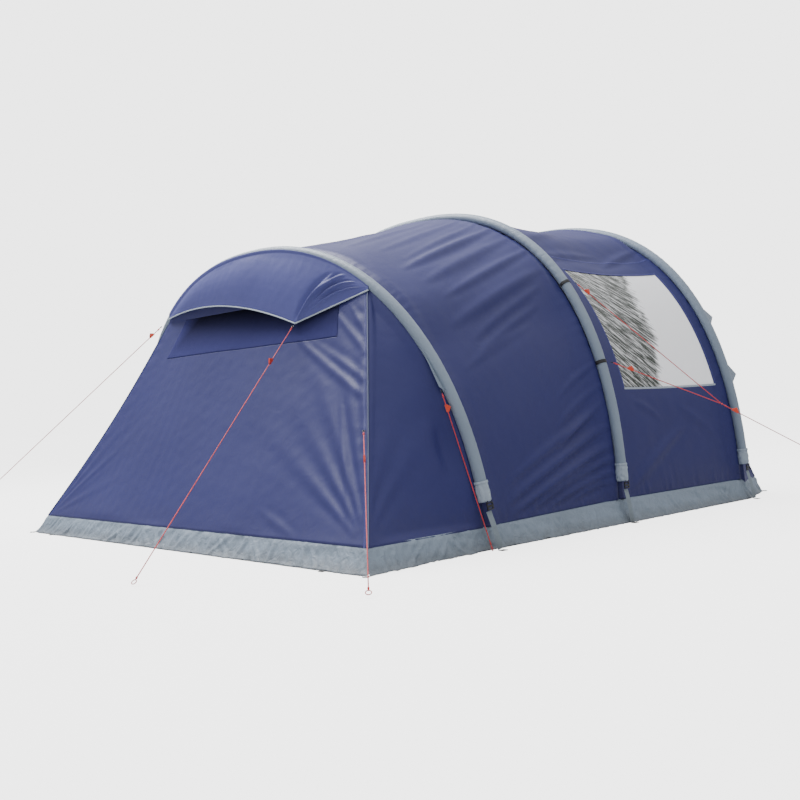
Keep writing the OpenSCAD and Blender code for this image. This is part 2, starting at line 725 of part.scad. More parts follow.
// A point given from the foot of the centre line of an arch
function off_arch(k, p) = p + [0, station[k], 0];
guy_join = off_arch(1, [2000, 481, 664]);
guy_top = [
    off_arch(0, [503, -315, 1206]), off_arch(0, [1350, -567, 618]), off_arch(0, [1487, -153, 790]),
    off_arch(0, [-1118, -197, 1352]), off_arch(1, [1336, 19, 1432]), off_arch(1, [1570, 19, 936]),
    guy_join + [5, 5, -5]
];
guy_foot = [
    off_arch(0, [955, -1590, 28]), off_arch(0, [2050, -1200, 28]), off_arch(0, [1676, -51, 28]),
    off_arch(0, [-2400, -1202, 28]), guy_join + [-6, -4, 6], guy_join + [-7, -7, 4],
    off_arch(1, [2780, 1233, 28])
];
runner_place = [280, 210, 60, 60, 60, 90, 60];
function guy_path(i) = [for (t = [0 : 0.25 : 1]) mix(guy_top[i], guy_foot[i], t)];
module guy(i) {
    color(CORAL) tube(guy_path(i), [0, 0, 1], guy_d / 2, 8);
}
// Frame on a guy line: Z down the line, origin d from its top
module on_guy(i, d) {
    down = unit(guy_foot[i] - guy_top[i]);
    side = unit(cross([0, 0, 1], down));
    face = cross(down, side);
    p = guy_top[i] + d * down;
    multmatrix([
        [face[0], side[0], down[0], p[0]],
        [face[1], side[1], down[1], p[1]],
        [face[2], side[2], down[2], p[2]]
    ]) children();
}
// Flat triangular runner; the line passes through its long side
runner_t = 9;
runner_depth = 22;
runner_half = 6;
runner_knee = runner_length * 0.45;
knot_hole_d = 4.2;
module runner(i) {
    color(ORANGE) on_guy(i, runner_place[i]) difference() {
        rotate([90, 0, 0]) linear_extrude(runner_t, center = true)
            polygon([[-runner_half, 0], [runner_half, 0], [runner_depth, runner_knee],
                [runner_half, runner_length], [-runner_half, runner_length]]);
        translate([0, 0, -1]) cylinder(d = runner_hole_d, h = runner_length + 2, $fn = 24);
        translate([2 * runner_half, 0, runner_knee]) rotate([90, 0, 0])
            cylinder(d = knot_hole_d, h = runner_t + 2, center = true, $fn = 24);
    }
}
loop_r = 12;
loop_wire = 2;
loop_gap = 0.2;
join_r = 5.5;
tie_r = 6.5;
tie_back = 9;
module loop_ring(r, wire) {
    rotate_extrude($fn = 32) translate([r, 0]) circle(r = wire, $fn = 13);
}
// Loop for the peg at the foot of a guy line, and the ring where the side guy divides
module guy_end_loops() {
    color(CORAL) for (i = [0, 1, 2, 3, 6])
        on_guy(i, norm(guy_foot[i] - guy_top[i]) + loop_r + loop_wire + loop_gap) rotate([0, 0, 90])
            rotate([90, 0, 0]) loop_ring(loop_r, loop_wire);
    color(BLACK) translate(guy_join) sphere(r = join_r, $fn = 24);
}
// Small black rings that the guy lines are tied to
module guy_rings() {
    color(BLACK) for (i = [0 : 5])
        on_guy(i, -tie_back) rotate([0, 90, 0]) loop_ring(tie_r, loop_wire);
}

beam(0);  // beam_front
beam(1);  // beam_middle
beam(2);  // beam_rear
sleeve(0);  // sleeve_front
sleeve(1);  // sleeve_middle
sleeve(2);  // sleeve_rear
end_covers(0);  // end_covers_front
end_covers(1);  // end_covers_middle
end_covers(2);  // end_covers_rear
valves();
valve_cap(0);  // valve_cap_front
valve_cap(1);  // valve_cap_middle
valve_cap(2);  // valve_cap_rear
buckle(0, "right");  // buckle_front_right
buckle(1, "right");  // buckle_middle_right
buckle(2, "right");  // buckle_rear_right
buckle(0, "left");  // buckle_front_left
buckle(1, "left");  // buckle_middle_left
buckle(2, "left");  // buckle_rear_left
ground_straps();
peg_tabs();
corner_rings();
front_bay_fly();
rear_bay_fly();
front_panel();
front_vent_mesh();
side_panels(0);  // front_side_panels
rear_panel();
side_panels(2);  // rear_side_panels
canopy();
piping();
window("right");  // window_right
window("left");  // window_left
side_door();
door_zip();
zip_slider();
end_skirt(0);  // skirt_front
end_skirt(2);  // skirt_rear
skirt_right();
skirt_left();
groundsheet();
guy_tabs();
middle_bands();
guy_rings();
guy_end_loops();
guy(0);  // guy_canopy
guy(1);  // guy_corner
guy(2);  // guy_front
guy(3);  // guy_far
guy(4);  // guy_upper
guy(5);  // guy_lower
guy(6);  // guy_side
runner(0);  // runner_canopy
runner(1);  // runner_corner
runner(2);  // runner_front
runner(3);  // runner_far
runner(4);  // runner_upper
runner(5);  // runner_lower
runner(6);  // runner_side
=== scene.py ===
import bmesh
import bpy
import numpy as np
from mathutils import Matrix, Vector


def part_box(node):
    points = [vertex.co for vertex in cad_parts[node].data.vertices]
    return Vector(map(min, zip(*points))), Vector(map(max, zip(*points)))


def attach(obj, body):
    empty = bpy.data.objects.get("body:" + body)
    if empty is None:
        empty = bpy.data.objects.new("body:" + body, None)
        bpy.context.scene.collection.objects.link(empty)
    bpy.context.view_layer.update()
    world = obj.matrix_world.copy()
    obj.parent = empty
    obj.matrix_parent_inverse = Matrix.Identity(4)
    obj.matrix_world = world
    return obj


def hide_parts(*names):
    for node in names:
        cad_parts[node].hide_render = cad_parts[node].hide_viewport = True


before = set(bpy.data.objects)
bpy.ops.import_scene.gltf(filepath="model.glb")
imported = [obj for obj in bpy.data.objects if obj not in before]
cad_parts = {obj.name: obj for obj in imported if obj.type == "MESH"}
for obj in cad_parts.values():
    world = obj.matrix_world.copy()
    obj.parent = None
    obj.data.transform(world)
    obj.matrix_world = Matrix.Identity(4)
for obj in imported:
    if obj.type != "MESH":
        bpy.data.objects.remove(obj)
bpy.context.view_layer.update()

# ---- Viewpoint ------------------------------------------------------------------------
# A low eye off the front right corner, so that the canopy, the sloping front and the
# window side all show. The horizon tips a little, as in a camera held by hand.
view_from = (4.95, -4.915, 0.72)
heading, pitch, roll = np.radians([46.26, 0.53, -2.63])
ahead = np.array([-np.sin(heading) * np.cos(pitch), np.cos(heading) * np.cos(pitch), np.sin(pitch)])
level = np.array([np.cos(heading), np.sin(heading), 0.0])
upright = np.cross(level, ahead)
across = level * np.cos(roll) + upright * np.sin(roll)
above = upright * np.cos(roll) - level * np.sin(roll)
camera_data = bpy.data.cameras.new("eye")
camera_data.sensor_width = 36.0
camera_data.lens = 44.95
camera = bpy.data.objects.new("eye", camera_data)
camera.matrix_world = Matrix.Translation(view_from) @ Matrix((across, above, -ahead)).transposed().to_4x4()
bpy.context.scene.collection.objects.link(camera)
bpy.context.scene.camera = camera

# ---- Guy lines ------------------------------------------------------------------------
# Braided polyester cord, 5 mm, pulled tight from small rings to pegs in the ground. The
# two side lines meet at a black ring, and a single line runs on from there to its peg.
GUY_DIAMETER = 0.005
GUY_JOIN = np.array([2.000, 0.536, 0.664])
GUYS = {
    "canopy": ([0.503, -1.470, 1.206], [0.955, -2.745, 0.028]),
    "corner": ([1.350, -1.722, 0.618], [2.050, -2.355, 0.028]),
    "front": ([1.487, -1.308, 0.790], [1.676, -1.206, 0.028]),
    "far": ([-1.118, -1.352, 1.352], [-2.400, -2.357, 0.028]),
    "upper": ([1.336, 0.074, 1.432], GUY_JOIN + [-0.006, -0.004, 0.006]),
    "lower": ([1.570, 0.074, 0.936], GUY_JOIN + [-0.007, -0.007, 0.004]),
    "side": (GUY_JOIN + [0.005, 0.005, -0.005], [2.780, 1.288, 0.028]),
}


def put(tree, kind, sockets=None, **settings):
    """Adds a node. Settings are its own properties; sockets gives each input a value or
    the output that feeds it."""
    node = tree.nodes.new(kind if kind.startswith("NodeGroup") else "ShaderNode" + kind)
    for key, value in settings.items():
        setattr(node, key, value)
    for key, value in (sockets or {}).items():
        if isinstance(value, bpy.types.NodeSocket):
            tree.links.new(value, node.inputs[key])
        else:
            node.inputs[key].default_value = value
    return node


def maths(tree, operation, *values):
    """The output of a Math node whose inputs are values or other outputs, in order."""
    node = put(tree, "Math", dict(enumerate(values)), operation=operation)
    return node.outputs[0]


def mixed(tree, share, first, second):
    """The output of a mix of two colours."""
    return put(tree, "Mix", {0: share, 6: first, 7: second}, data_type="RGBA").outputs[2]


def ranged(tree, value, low, high, to_low=0.0, to_high=1.0):
    """The output of a Map Range node, from low..high to to_low..to_high."""
    return put(tree, "MapRange", {"Value": value, "From Min": low, "From Max": high,
                                  "To Min": to_low, "To Max": to_high}).outputs[0]


def noise(tree, where, scale, detail=2.0, roughness=0.5, distortion=0.0):
    """The output of a noise texture."""
    return put(tree, "TexNoise", {"Vector": where, "Scale": scale, "Detail": detail,
                                  "Roughness": roughness, "Distortion": distortion}).outputs[0]


def place_of(tree, kind):
    """The UV, Object or Generated coordinates of a material."""
    return put(tree, "TexCoord").outputs[kind]


def parts_of(tree, vector):
    """The three numbers of a vector."""
    return put(tree, "SeparateXYZ", {"Vector": vector}).outputs


def new_group(name, inputs, outputs):
    """An empty node group with these numbers in and out, and its two end nodes."""
    group = bpy.data.node_groups.new(name, "ShaderNodeTree")
    for label, value in inputs.items():
        socket = group.interface.new_socket(label, in_out="INPUT", socket_type="NodeSocketFloat")
        socket.default_value = value
    for label in outputs:
        group.interface.new_socket(label, in_out="OUTPUT", socket_type="NodeSocketFloat")
    return group, put(group, "NodeGroupInput").outputs, put(group, "NodeGroupOutput").inputs


def use(tree, group, **values):
    """Places a node group in a material, with its own values, and gives its outputs."""
    node = put(tree, "Group", node_tree=group)
    for label, value in values.items():
        node.inputs[label].default_value = value
    return node.outputs


# Plain weave: threads of the given pitch in both directions of the piece's own UV map,
# which is in metres. At each crossing one thread or the other lies on top.
weave, given, gives = new_group("plain_weave", {"Pitch": 0.001, "Slant": 0.0}, ["Height"])
where = place_of(weave, "UV")
turned = put(weave, "VectorRotate", {"Vector": where, "Angle": given["Slant"]}, rotation_type="Z_AXIS")
parts = parts_of(weave, turned.outputs[0])
thread = [maths(weave, "DIVIDE", parts[i], given["Pitch"]) for i in range(2)]
crest = [maths(weave, "ABSOLUTE", maths(weave, "SINE", maths(weave, "MULTIPLY", t, np.pi))) for t in thread]
crossing = maths(weave, "ADD", *[maths(weave, "FLOOR", t) for t in thread])
upper = maths(weave, "PINGPONG", crossing, 1.0)
chosen = put(weave, "Mix", {0: upper, 2: crest[0], 3: crest[1]}, data_type="FLOAT")
weave.links.new(chosen.outputs[0], gives["Height"])

# Life of a cloth: slow changes of shade, small soft creases of the given size in metres,
# and splashes of soil that fade out at the given height above the ground.
life, given, gives = new_group("cloth_life", {"Size": 0.06, "Soil height": 0.1},
                               ["Shade", "Crease", "Soil"])
where = place_of(life, "Object")
shade = noise(life, where, 2.2, 5.0, 0.62)
frequency = maths(life, "DIVIDE", 1.0, given["Size"])
crease = noise(life, where, frequency, 3.0, 0.45, 0.6)
fold_line = maths(life, "ABSOLUTE", maths(life, "SUBTRACT", crease, 0.5))
splash = noise(life, where, 23.0, 6.0, 0.7)
height = parts_of(life, where)["Z"]
nearness = maths(life, "SUBTRACT", 1.0, maths(life, "DIVIDE", height, given["Soil height"]))
soiled = maths(life, "ADD", nearness, maths(life, "MULTIPLY", splash, 1.3))
life.links.new(shade, gives["Shade"])
life.links.new(maths(life, "MULTIPLY", fold_line, -3.0), gives["Crease"])
life.links.new(ranged(life, soiled, 0.75, 1.75), gives["Soil"])

# Two rows of lockstitch beside the middle line of a strip: dashes of thread of the given
# pitch, at the given distance to either side of V = 0.
stitch, given, gives = new_group("lockstitch", {"Pitch": 0.004, "Offset": 0.004}, ["Thread"])
parts = parts_of(stitch, place_of(stitch, "UV"))
aside = maths(stitch, "SUBTRACT", maths(stitch, "ABSOLUTE", parts[1]), given["Offset"])
on_line = maths(stitch, "LESS_THAN", maths(stitch, "ABSOLUTE", aside), 0.0006)
dash = maths(stitch, "FRACT", maths(stitch, "DIVIDE", parts[0], given["Pitch"]))
sewn = maths(stitch, "MULTIPLY", on_line, maths(stitch, "LESS_THAN", dash, 0.72))
stitch.links.new(sewn, gives["Thread"])


def new_material(name, **shader):
    """A material with one Principled shader, whose sockets take these constant values."""
    material = bpy.data.materials.new(name)
    material.use_nodes = True
    material.node_tree.nodes.clear()
    surface = put(material.node_tree, "BsdfPrincipled",
                  {key.replace("_", " "): value for key, value in shader.items()})
    put(material.node_tree, "OutputMaterial", {"Surface": surface.outputs[0]})
    return material, material.node_tree, surface.inputs


def cloth_material(name, colour, pitch, rough=0.5, size=0.06, crease=0.0015, thread=0.00012,
                   slant=0.0, vary=0.10, soil=0.0, soil_height=0.12, stitches=None, **shader):
    """A woven fabric: its colour between two shades at random, painted shade darkening the hollows of its
    weave, weave and creases as bump, soil near the ground, and a row of stitches each side of the middle of
    a strip if it has them."""
    material, tree, sockets = new_material(name, **shader)
    marks = use(tree, life, Size=size, **{"Soil height": soil_height})
    threads = use(tree, weave, Pitch=pitch, Slant=slant)
    dark = [c * (1 - vary) for c in colour] + [1.0]
    light = [min(1.0, c * (1 + vary)) for c in colour] + [1.0]
    tint = mixed(tree, ranged(tree, marks["Shade"], 0.3, 0.7), dark, light)
    # Painted shade: where the threads dip under, the colour is darkened towards half of itself.
    painted_weave_shade = maths(tree, "MULTIPLY", maths(tree, "SUBTRACT", 1.0, threads["Height"]), 0.25)
    tint = mixed(tree, painted_weave_shade, tint, [c * 0.5 for c in colour] + [1.0])
    if soil:
        share = maths(tree, "MULTIPLY", marks["Soil"], soil)
        tint = mixed(tree, share, tint, [0.085, 0.075, 0.058, 1.0])
    relief = threads["Height"]
    if stitches:
        sewn = use(tree, stitch, Pitch=0.0042, Offset=stitches)["Thread"]
        tint = mixed(tree, sewn, tint, [min(1.0, c * 2.2 + 0.03) for c in colour] + [1.0])
        relief = maths(tree, "ADD", relief, maths(tree, "MULTIPLY", sewn, 3.0))
    tree.links.new(tint, sockets["Base Color"])
    gloss = ranged(tree, marks["Shade"], 0.0, 1.0, rough - 0.06, rough + 0.08)
    tree.links.new(gloss, sockets["Roughness"])
    soft = put(tree, "Bump", {"Height": marks["Crease"], "Distance": crease, "Strength": 1.0})
    fine = put(tree, "Bump", {"Height": relief, "Distance": thread, "Strength": 1.0,
                              "Normal": soft.outputs[0]})
    tree.links.new(fine.outputs[0], sockets["Normal"])
    return material


def walked(points, axis):
    """Distance walked over a grid of points along one axis, in metres, from its start."""
    steps = np.linalg.norm(np.diff(points, axis=axis), axis=-1)
    start = np.zeros_like(np.take(steps, [0], axis=axis))
    return np.concatenate([start, np.cumsum(steps, axis=axis)], axis=axis)


def add_object(name, data):
    """A new object, unmoved and unscaled."""
    thing = bpy.data.objects.new(name, data)
    bpy.context.scene.collection.objects.link(thing)
    return thing


def make_piece(name, grids, material, body="tent", inside=(0, 0, 0.7), around=False, caps=False,
               keep=None, thickness=0.0, centred=False, stands_for=()):
    """A piece made of one or more grids of points, each (rows, columns, 3), with a face
    between every four neighbours. around joins the last column to the first, caps closes
    both ends, keep says which faces are cloth, and thickness gives it a wall inwards. Its
    UV map is the distance along and across, in metres. Faces look away from inside."""
    vertices, faces, maps = [], [], []
    first = 0
    for points in ([grids] if isinstance(grids, np.ndarray) else grids):
        rows, columns = points.shape[:2]
        index = np.arange(rows * columns).reshape(rows, columns)
        wide = points
        if around:
            index = np.hstack([index, index[:, :1]])
            wide = np.concatenate([points, points[:, :1]], axis=1)
        along = walked(wide, 0).mean(axis=1, keepdims=True) * np.ones(wide.shape[:2])
        aside = walked(wide, 1).mean(axis=0, keepdims=True) * np.ones(wide.shape[:2])
        if centred:
            aside = aside - aside[:, -1:] / 2
        corners = [(slice(None, -1), slice(None, -1)), (slice(None, -1), slice(1, None)),
                   (slice(1, None), slice(1, None)), (slice(1, None), slice(None, -1))]
        quads = np.stack([index[c] for c in corners], axis=-1)
        places = np.stack([np.stack([along[c], aside[c]], axis=-1) for c in corners], axis=-2)
        chosen = np.ones(quads.shape[:2], bool) if keep is None else keep
        quads = quads[chosen]
        places = places[chosen]
        flat = points.reshape(-1, 3)
        mid = flat[quads].mean(axis=1)
        facing = np.cross(flat[quads[:, 2]] - flat[quads[:, 0]], flat[quads[:, 3]] - flat[quads[:, 1]])
        middle = mid.mean(axis=0) if (around and caps) else np.array(inside, float)
        if (facing * (mid - middle)).sum() < 0:
            quads = quads[:, ::-1]
            places = places[:, ::-1]
            ends = [index[0, :columns], index[-1, :columns][::-1]]
        else:
            ends = [index[0, :columns][::-1], index[-1, :columns]]
        used = np.unique(quads)
        renumber = np.zeros(rows * columns, int)
        renumber[used] = np.arange(len(used))
        vertices.append(flat[used])
        faces += (renumber[quads] + first).tolist()
        maps.append(places.reshape(-1, 2))
        if caps:
            for end in ends:
                faces.append((renumber[end] + first).tolist())
                maps.append(np.zeros((len(end), 2)))
        first += len(used)
    mesh = bpy.data.meshes.new(name)
    mesh.from_pydata(np.concatenate(vertices).tolist(), [], faces)
    layer = mesh.uv_layers.new(name="cloth")
    layer.data.foreach_set("uv", np.concatenate(maps).astype(np.float32).ravel())
    mesh.polygons.foreach_set("use_smooth", np.ones(len(mesh.polygons), bool))
    if caps:
        mesh.set_sharp_from_angle(angle=np.radians(50))
    mesh.materials.append(material)
    piece = add_object(name, mesh)
    if thickness:
        wall = piece.modifiers.new("wall", "SOLIDIFY")
        wall.thickness = thickness
        wall.offset = -1.0
    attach(piece, body)
    if stands_for:
        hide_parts(*stands_for)
    return piece


def unit(vectors):
    """Vectors of length one, along the last axis."""
    return vectors / np.maximum(np.linalg.norm(vectors, axis=-1, keepdims=True), 1e-12)


def carried(path, profile, up):
    """A closed profile (points, 2) carried along a path (n, 3), as a grid: its first number
    goes to the side, square to the path and to up, and its second square to both."""
    path = np.asarray(path, float)
    forward = unit(np.gradient(path, axis=0))
    side = unit(np.cross(up, forward))
    top = np.cross(forward, side)
    profile = np.broadcast_to(profile, (len(path),) + np.shape(profile)[-2:])
    return path[:, None] + profile[..., :1] * side[:, None] + profile[..., 1:] * top[:, None]


def circle(radius, points):
    """A round profile."""
    turn = np.linspace(0, 2 * np.pi, points, endpoint=False)
    return radius * np.stack([np.cos(turn), np.sin(turn)], axis=-1)


coral_cord = cloth_material("coral_braid", (0.70, 0.035, 0.040), pitch=0.0011, rough=0.55, size=0.02,
                            crease=0.0001, thread=0.00025, slant=np.pi / 4, vary=0.22,
                            Sheen_Weight=0.3)
GUY_POINTS = 25
for name, (top, foot) in GUYS.items():
    share = np.linspace(0, 1, GUY_POINTS)[:, None]
    route = np.array(top) * (1 - share) + np.array(foot) * share
    cord = make_piece(f"guy_line_{name}", carried(route, circle(GUY_DIAMETER / 2, 10), (0, 0, 1)),
                      coral_cord, around=True, caps=True, stands_for=[f"guy_{name}"])

# ---- Knots, rings and runners of the guy lines -----------------------------------------
# Each line is whipped where it leaves its ring and again above its peg loop. The flat
# three-cornered runners are moulded in orange plastic and slide to tighten the line.
def mirrored(points):
    """The same points on the left side of the tent."""
    return points * np.array([-1.0, 1.0, 1.0])


def rounded_copy(node, name, radius, material, body):
    """A copy of a CAD node with its loose triangles merged and its edges rounded."""
    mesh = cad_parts[node].data.copy()
    work = bmesh.new()
    work.from_mesh(mesh)
    bmesh.ops.remove_doubles(work, verts=work.verts, dist=1e-5)
    bmesh.ops.dissolve_limit(work, angle_limit=np.radians(2), verts=work.verts, edges=work.edges)
    work.to_mesh(mesh)
    work.free()
    mesh.polygons.foreach_set("use_smooth", np.ones(len(mesh.polygons), bool))
    mesh.materials.clear()
    mesh.materials.append(material)
    piece = add_object(name, mesh)
    edge = piece.modifiers.new("rounded edges", "BEVEL")
    edge.width = radius
    edge.segments = 2
    edge.limit_method = "ANGLE"
    edge.angle_limit = np.radians(38)
    edge.harden_normals = True
    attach(piece, body)
    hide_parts(node)
    return piece


def dress(node, material):
    """Gives a CAD node that is shown as it is its material."""
    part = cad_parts[node]
    part.data.materials.clear()
    part.data.materials.append(material)


# Moulded plastic and metal: a fine grain in the gloss and the surface, and scuffs.
grain, given, gives = new_group("moulded_grain", {"Scale": 400.0}, ["Grain", "Scuff"])
where = place_of(grain, "Object")
grain.links.new(noise(grain, where, given["Scale"], 3.0), gives["Grain"])
grain.links.new(ranged(grain, noise(grain, where, 35.0, 6.0, 0.7), 0.52, 0.75), gives["Scuff"])


def hard_material(name, colour, rough, scale=400.0, relief=0.00004, scuff=0.35, **shader):
    """Plastic or metal with its grain as bump, and paler, duller scuffed places."""
    material, tree, sockets = new_material(name, **shader)
    marks = use(tree, grain, Scale=scale)
    worn = maths(tree, "MULTIPLY", marks["Scuff"], scuff)
    pale = [c * 0.75 + 0.09 for c in colour] + [1.0]
    tree.links.new(mixed(tree, worn, list(colour) + [1.0], pale), sockets["Base Color"])
    dull = ranged(tree, marks["Scuff"], 0.0, 1.0, rough, rough + 0.22)
    tree.links.new(dull, sockets["Roughness"])
    bump = put(tree, "Bump", {"Height": marks["Grain"], "Distance": relief})
    tree.links.new(bump.outputs[0], sockets["Normal"])
    return material


black_plastic = hard_material("black_acetal", (0.014, 0.015, 0.017), 0.38)
grey_plastic = hard_material("grey_nylon", (0.040, 0.042, 0.048), 0.45)
orange_plastic = hard_material("orange_nylon", (0.72, 0.060, 0.022), 0.32, scuff=0.15, Coat_Weight=0.2)
plated_steel = hard_material("plated_steel", (0.62, 0.63, 0.64), 0.26, scale=900.0, Metallic=1.0)


def whipping(start, direction, turns, radius, wire):
    """A cord wound as a helix round a line, as a grid."""
    direction = unit(np.asarray(direction, float))
    side = unit(np.cross((0, 0, 1), direction))
    top = np.cross(direction, side)
    turn = np.linspace(0, 2 * np.pi * turns, 14 * turns)
    reach = turn / (2 * np.pi) * wire * 2.05
    path = (np.asarray(start, float) + reach[:, None] * direction
            + radius * (np.cos(turn)[:, None] * side + np.sin(turn)[:, None] * top))
    return carried(path, circle(wire, 7), direction)


for name, (top, foot) in GUYS.items():
    down = unit(np.subtract(foot, top))
    wound = [whipping(np.array(top) + 0.010 * down, down, 4, 0.0034, 0.0015)]
    if foot[2] < 0.1:
        wound.append(whipping(np.array(foot) - 0.014 * down, down, 3, 0.0034, 0.0015))
    make_piece(f"guy_knot_{name}", wound, coral_cord, around=True, caps=True)
    rounded_copy(f"runner_{name}", f"line_runner_{name}", 0.0012, orange_plastic,
                 f"runner_{name}")
dress("guy_end_loops", coral_cord)
dress("guy_rings", black_plastic)

# ---- Beam sleeves ---------------------------------------------------------------------
# Three inflated tubes stand in grey woven sleeves. A sleeve is a band of cloth folded
# round the beam and sewn down to the fly along both of its sides.
BEAMS = ["front", "middle", "rear"]
SLEEVE_RADIUS = 0.031
SLEEVE_END = 0.300
half_width = np.array([1.670, 1.640, 1.650])
crown = np.array([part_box(f"sleeve_{name}")[1].z for name in BEAMS])
station = np.array([-1.155, 0.055, 1.525])
lean = np.array([-0.210, 0.0, -0.200])
roundness = np.array([2.2, 2.4, 2.6])


def arch_y(k, z):
    """Fore-and-aft place of an arch at a height: it leans evenly."""
    return station[k] + lean[k] * z / crown[k]


def arch_at(k, z, inset):
    """A superellipse: |x / half width|^n + |z / height|^n = 1, set in from the sleeve's outside."""
    tall = crown[k] - inset
    x = (half_width[k] - inset) * np.maximum(0, 1 - (z / tall) ** roundness[k]) ** (1 / roundness[k])
    return np.stack(np.broadcast_arrays(x, arch_y(k, z), z), axis=-1)


def arch_turn(k, angle, inset):
    """The same arch at an angle in degrees, from 0 at the right foot to 180 at the left."""
    power = 2 / roundness[k]
    z = (crown[k] - inset) * np.sin(np.radians(angle)) ** power
    cosine = np.cos(np.radians(angle))
    x = (half_width[k] - inset) * np.sign(cosine) * np.abs(cosine) ** power
    return np.stack([x, arch_y(k, z), z], axis=-1)


def turn_of(k, z, inset):
    """The angle of an arch at a height."""
    return np.degrees(np.arcsin((z / (crown[k] - inset)) ** (roundness[k] / 2)))


def smooth(x):
    """0 below 0, 1 above 1, and an easy rise between."""
    x = np.clip(x, 0, 1)
    return x * x * (3 - 2 * x)


def uneven(a, b, length, seed):
    """Soft unevenness of cloth: a sum of sixteen plane waves of about this length, in
    directions and phases drawn once, from about -1 to 1."""
    rng = np.random.default_rng(seed)
    total = 0.0
    for turn, stretch, phase in zip(rng.uniform(0, np.pi, 16), rng.uniform(0.65, 1.7, 16),
                                    rng.uniform(0, 2 * np.pi, 16)):
        wave = 2 * np.pi / (length * stretch)
        total = total + np.cos(wave * (a * np.cos(turn) + b * np.sin(turn)) + phase)
    return total / 5.0


sleeve_cloth = cloth_material("sleeve_cloth", (0.225, 0.285, 0.37), pitch=0.0008, rough=0.46, size=0.035,
                              crease=0.0012, thread=0.00010, vary=0.07, Sheen_Weight=0.15)
beam_film = hard_material("beam_film", (0.35, 0.37, 0.39), 0.3, scale=60.0)
around = np.radians(np.arange(0, 360, 7.5))
for k, name in enumerate(BEAMS):
    low = turn_of(k, SLEEVE_END, SLEEVE_RADIUS)
    path = arch_turn(k, np.linspace(low, 180 - low, 330), SLEEVE_RADIUS)
    run = walked(path[:, None], 0)
    sides = around[None] * SLEEVE_RADIUS
    thick = SLEEVE_RADIUS + 0.0006 * uneven(run * 1.6, sides * 0.7, 0.05, 11 + k)
    ring = thick[..., None] * np.stack([np.cos(around), np.sin(around)], axis=-1)
    normal = unit(np.array([0.0, crown[k], -lean[k]]))
    make_piece(f"beam_sleeve_{name}", carried(path, ring, normal), sleeve_cloth,
               around=True, caps=True, stands_for=[f"sleeve_{name}"])
    dress(f"beam_{name}", beam_film)
dress("valves", black_plastic)
for name in BEAMS:
    dress(f"valve_cap_{name}", grey_plastic)

# ---- Beam-end covers, buckles and ground straps ---------------------------------------
# A cap of speckled cloth closes each end of a beam. Under it hangs a black ladder-lock
# buckle on two webbing loops, and a flat grey strap runs from there to a peg tab.
END_HEIGHT = 0.240
COVER_LENGTH = 0.105
PIN_OUT = 0.0284
PIN_DROP = 0.008
LOOP_RADIUS = 0.0046
STRAP_WIDTH = 0.040
cover_cloth = cloth_material("cover_cloth", (0.36, 0.43, 0.52), pitch=0.0011, rough=0.62, size=0.02,
                             crease=0.0015, thread=0.00022, vary=0.16, stitches=0.0022)
grey_webbing = cloth_material("grey_webbing", (0.23, 0.28, 0.33), pitch=0.0021, rough=0.58, size=0.05,
                              crease=0.0006, thread=0.00035, vary=0.08, soil=0.35, soil_height=0.08)
black_webbing = cloth_material("black_webbing", (0.018, 0.018, 0.021), pitch=0.0019, rough=0.6,
                               size=0.05, crease=0.0005, thread=0.00035, soil=0.25, soil_height=0.05)


def beam_end(k):
    """The lowest point of a right-hand cover, and its outward, rearward and upward directions."""
    foot = arch_at(k, END_HEIGHT, SLEEVE_RADIUS)
    up = unit(arch_at(k, END_HEIGHT + COVER_LENGTH, SLEEVE_RADIUS) - foot)
    out = unit(np.cross((0.0, crown[k], -lean[k]), up))
    return foot, out, np.cross(up, out), up


def band(width, thickness):
    """Flat profile with round edges: thickness to the side, width square to it."""
    turn = np.linspace(0, 2 * np.pi, 14, endpoint=False)
    flat = np.sign(np.sin(turn)) * np.abs(np.sin(turn)) ** 0.25
    return np.stack([np.cos(turn) * thickness / 2, flat * width / 2], axis=-1)


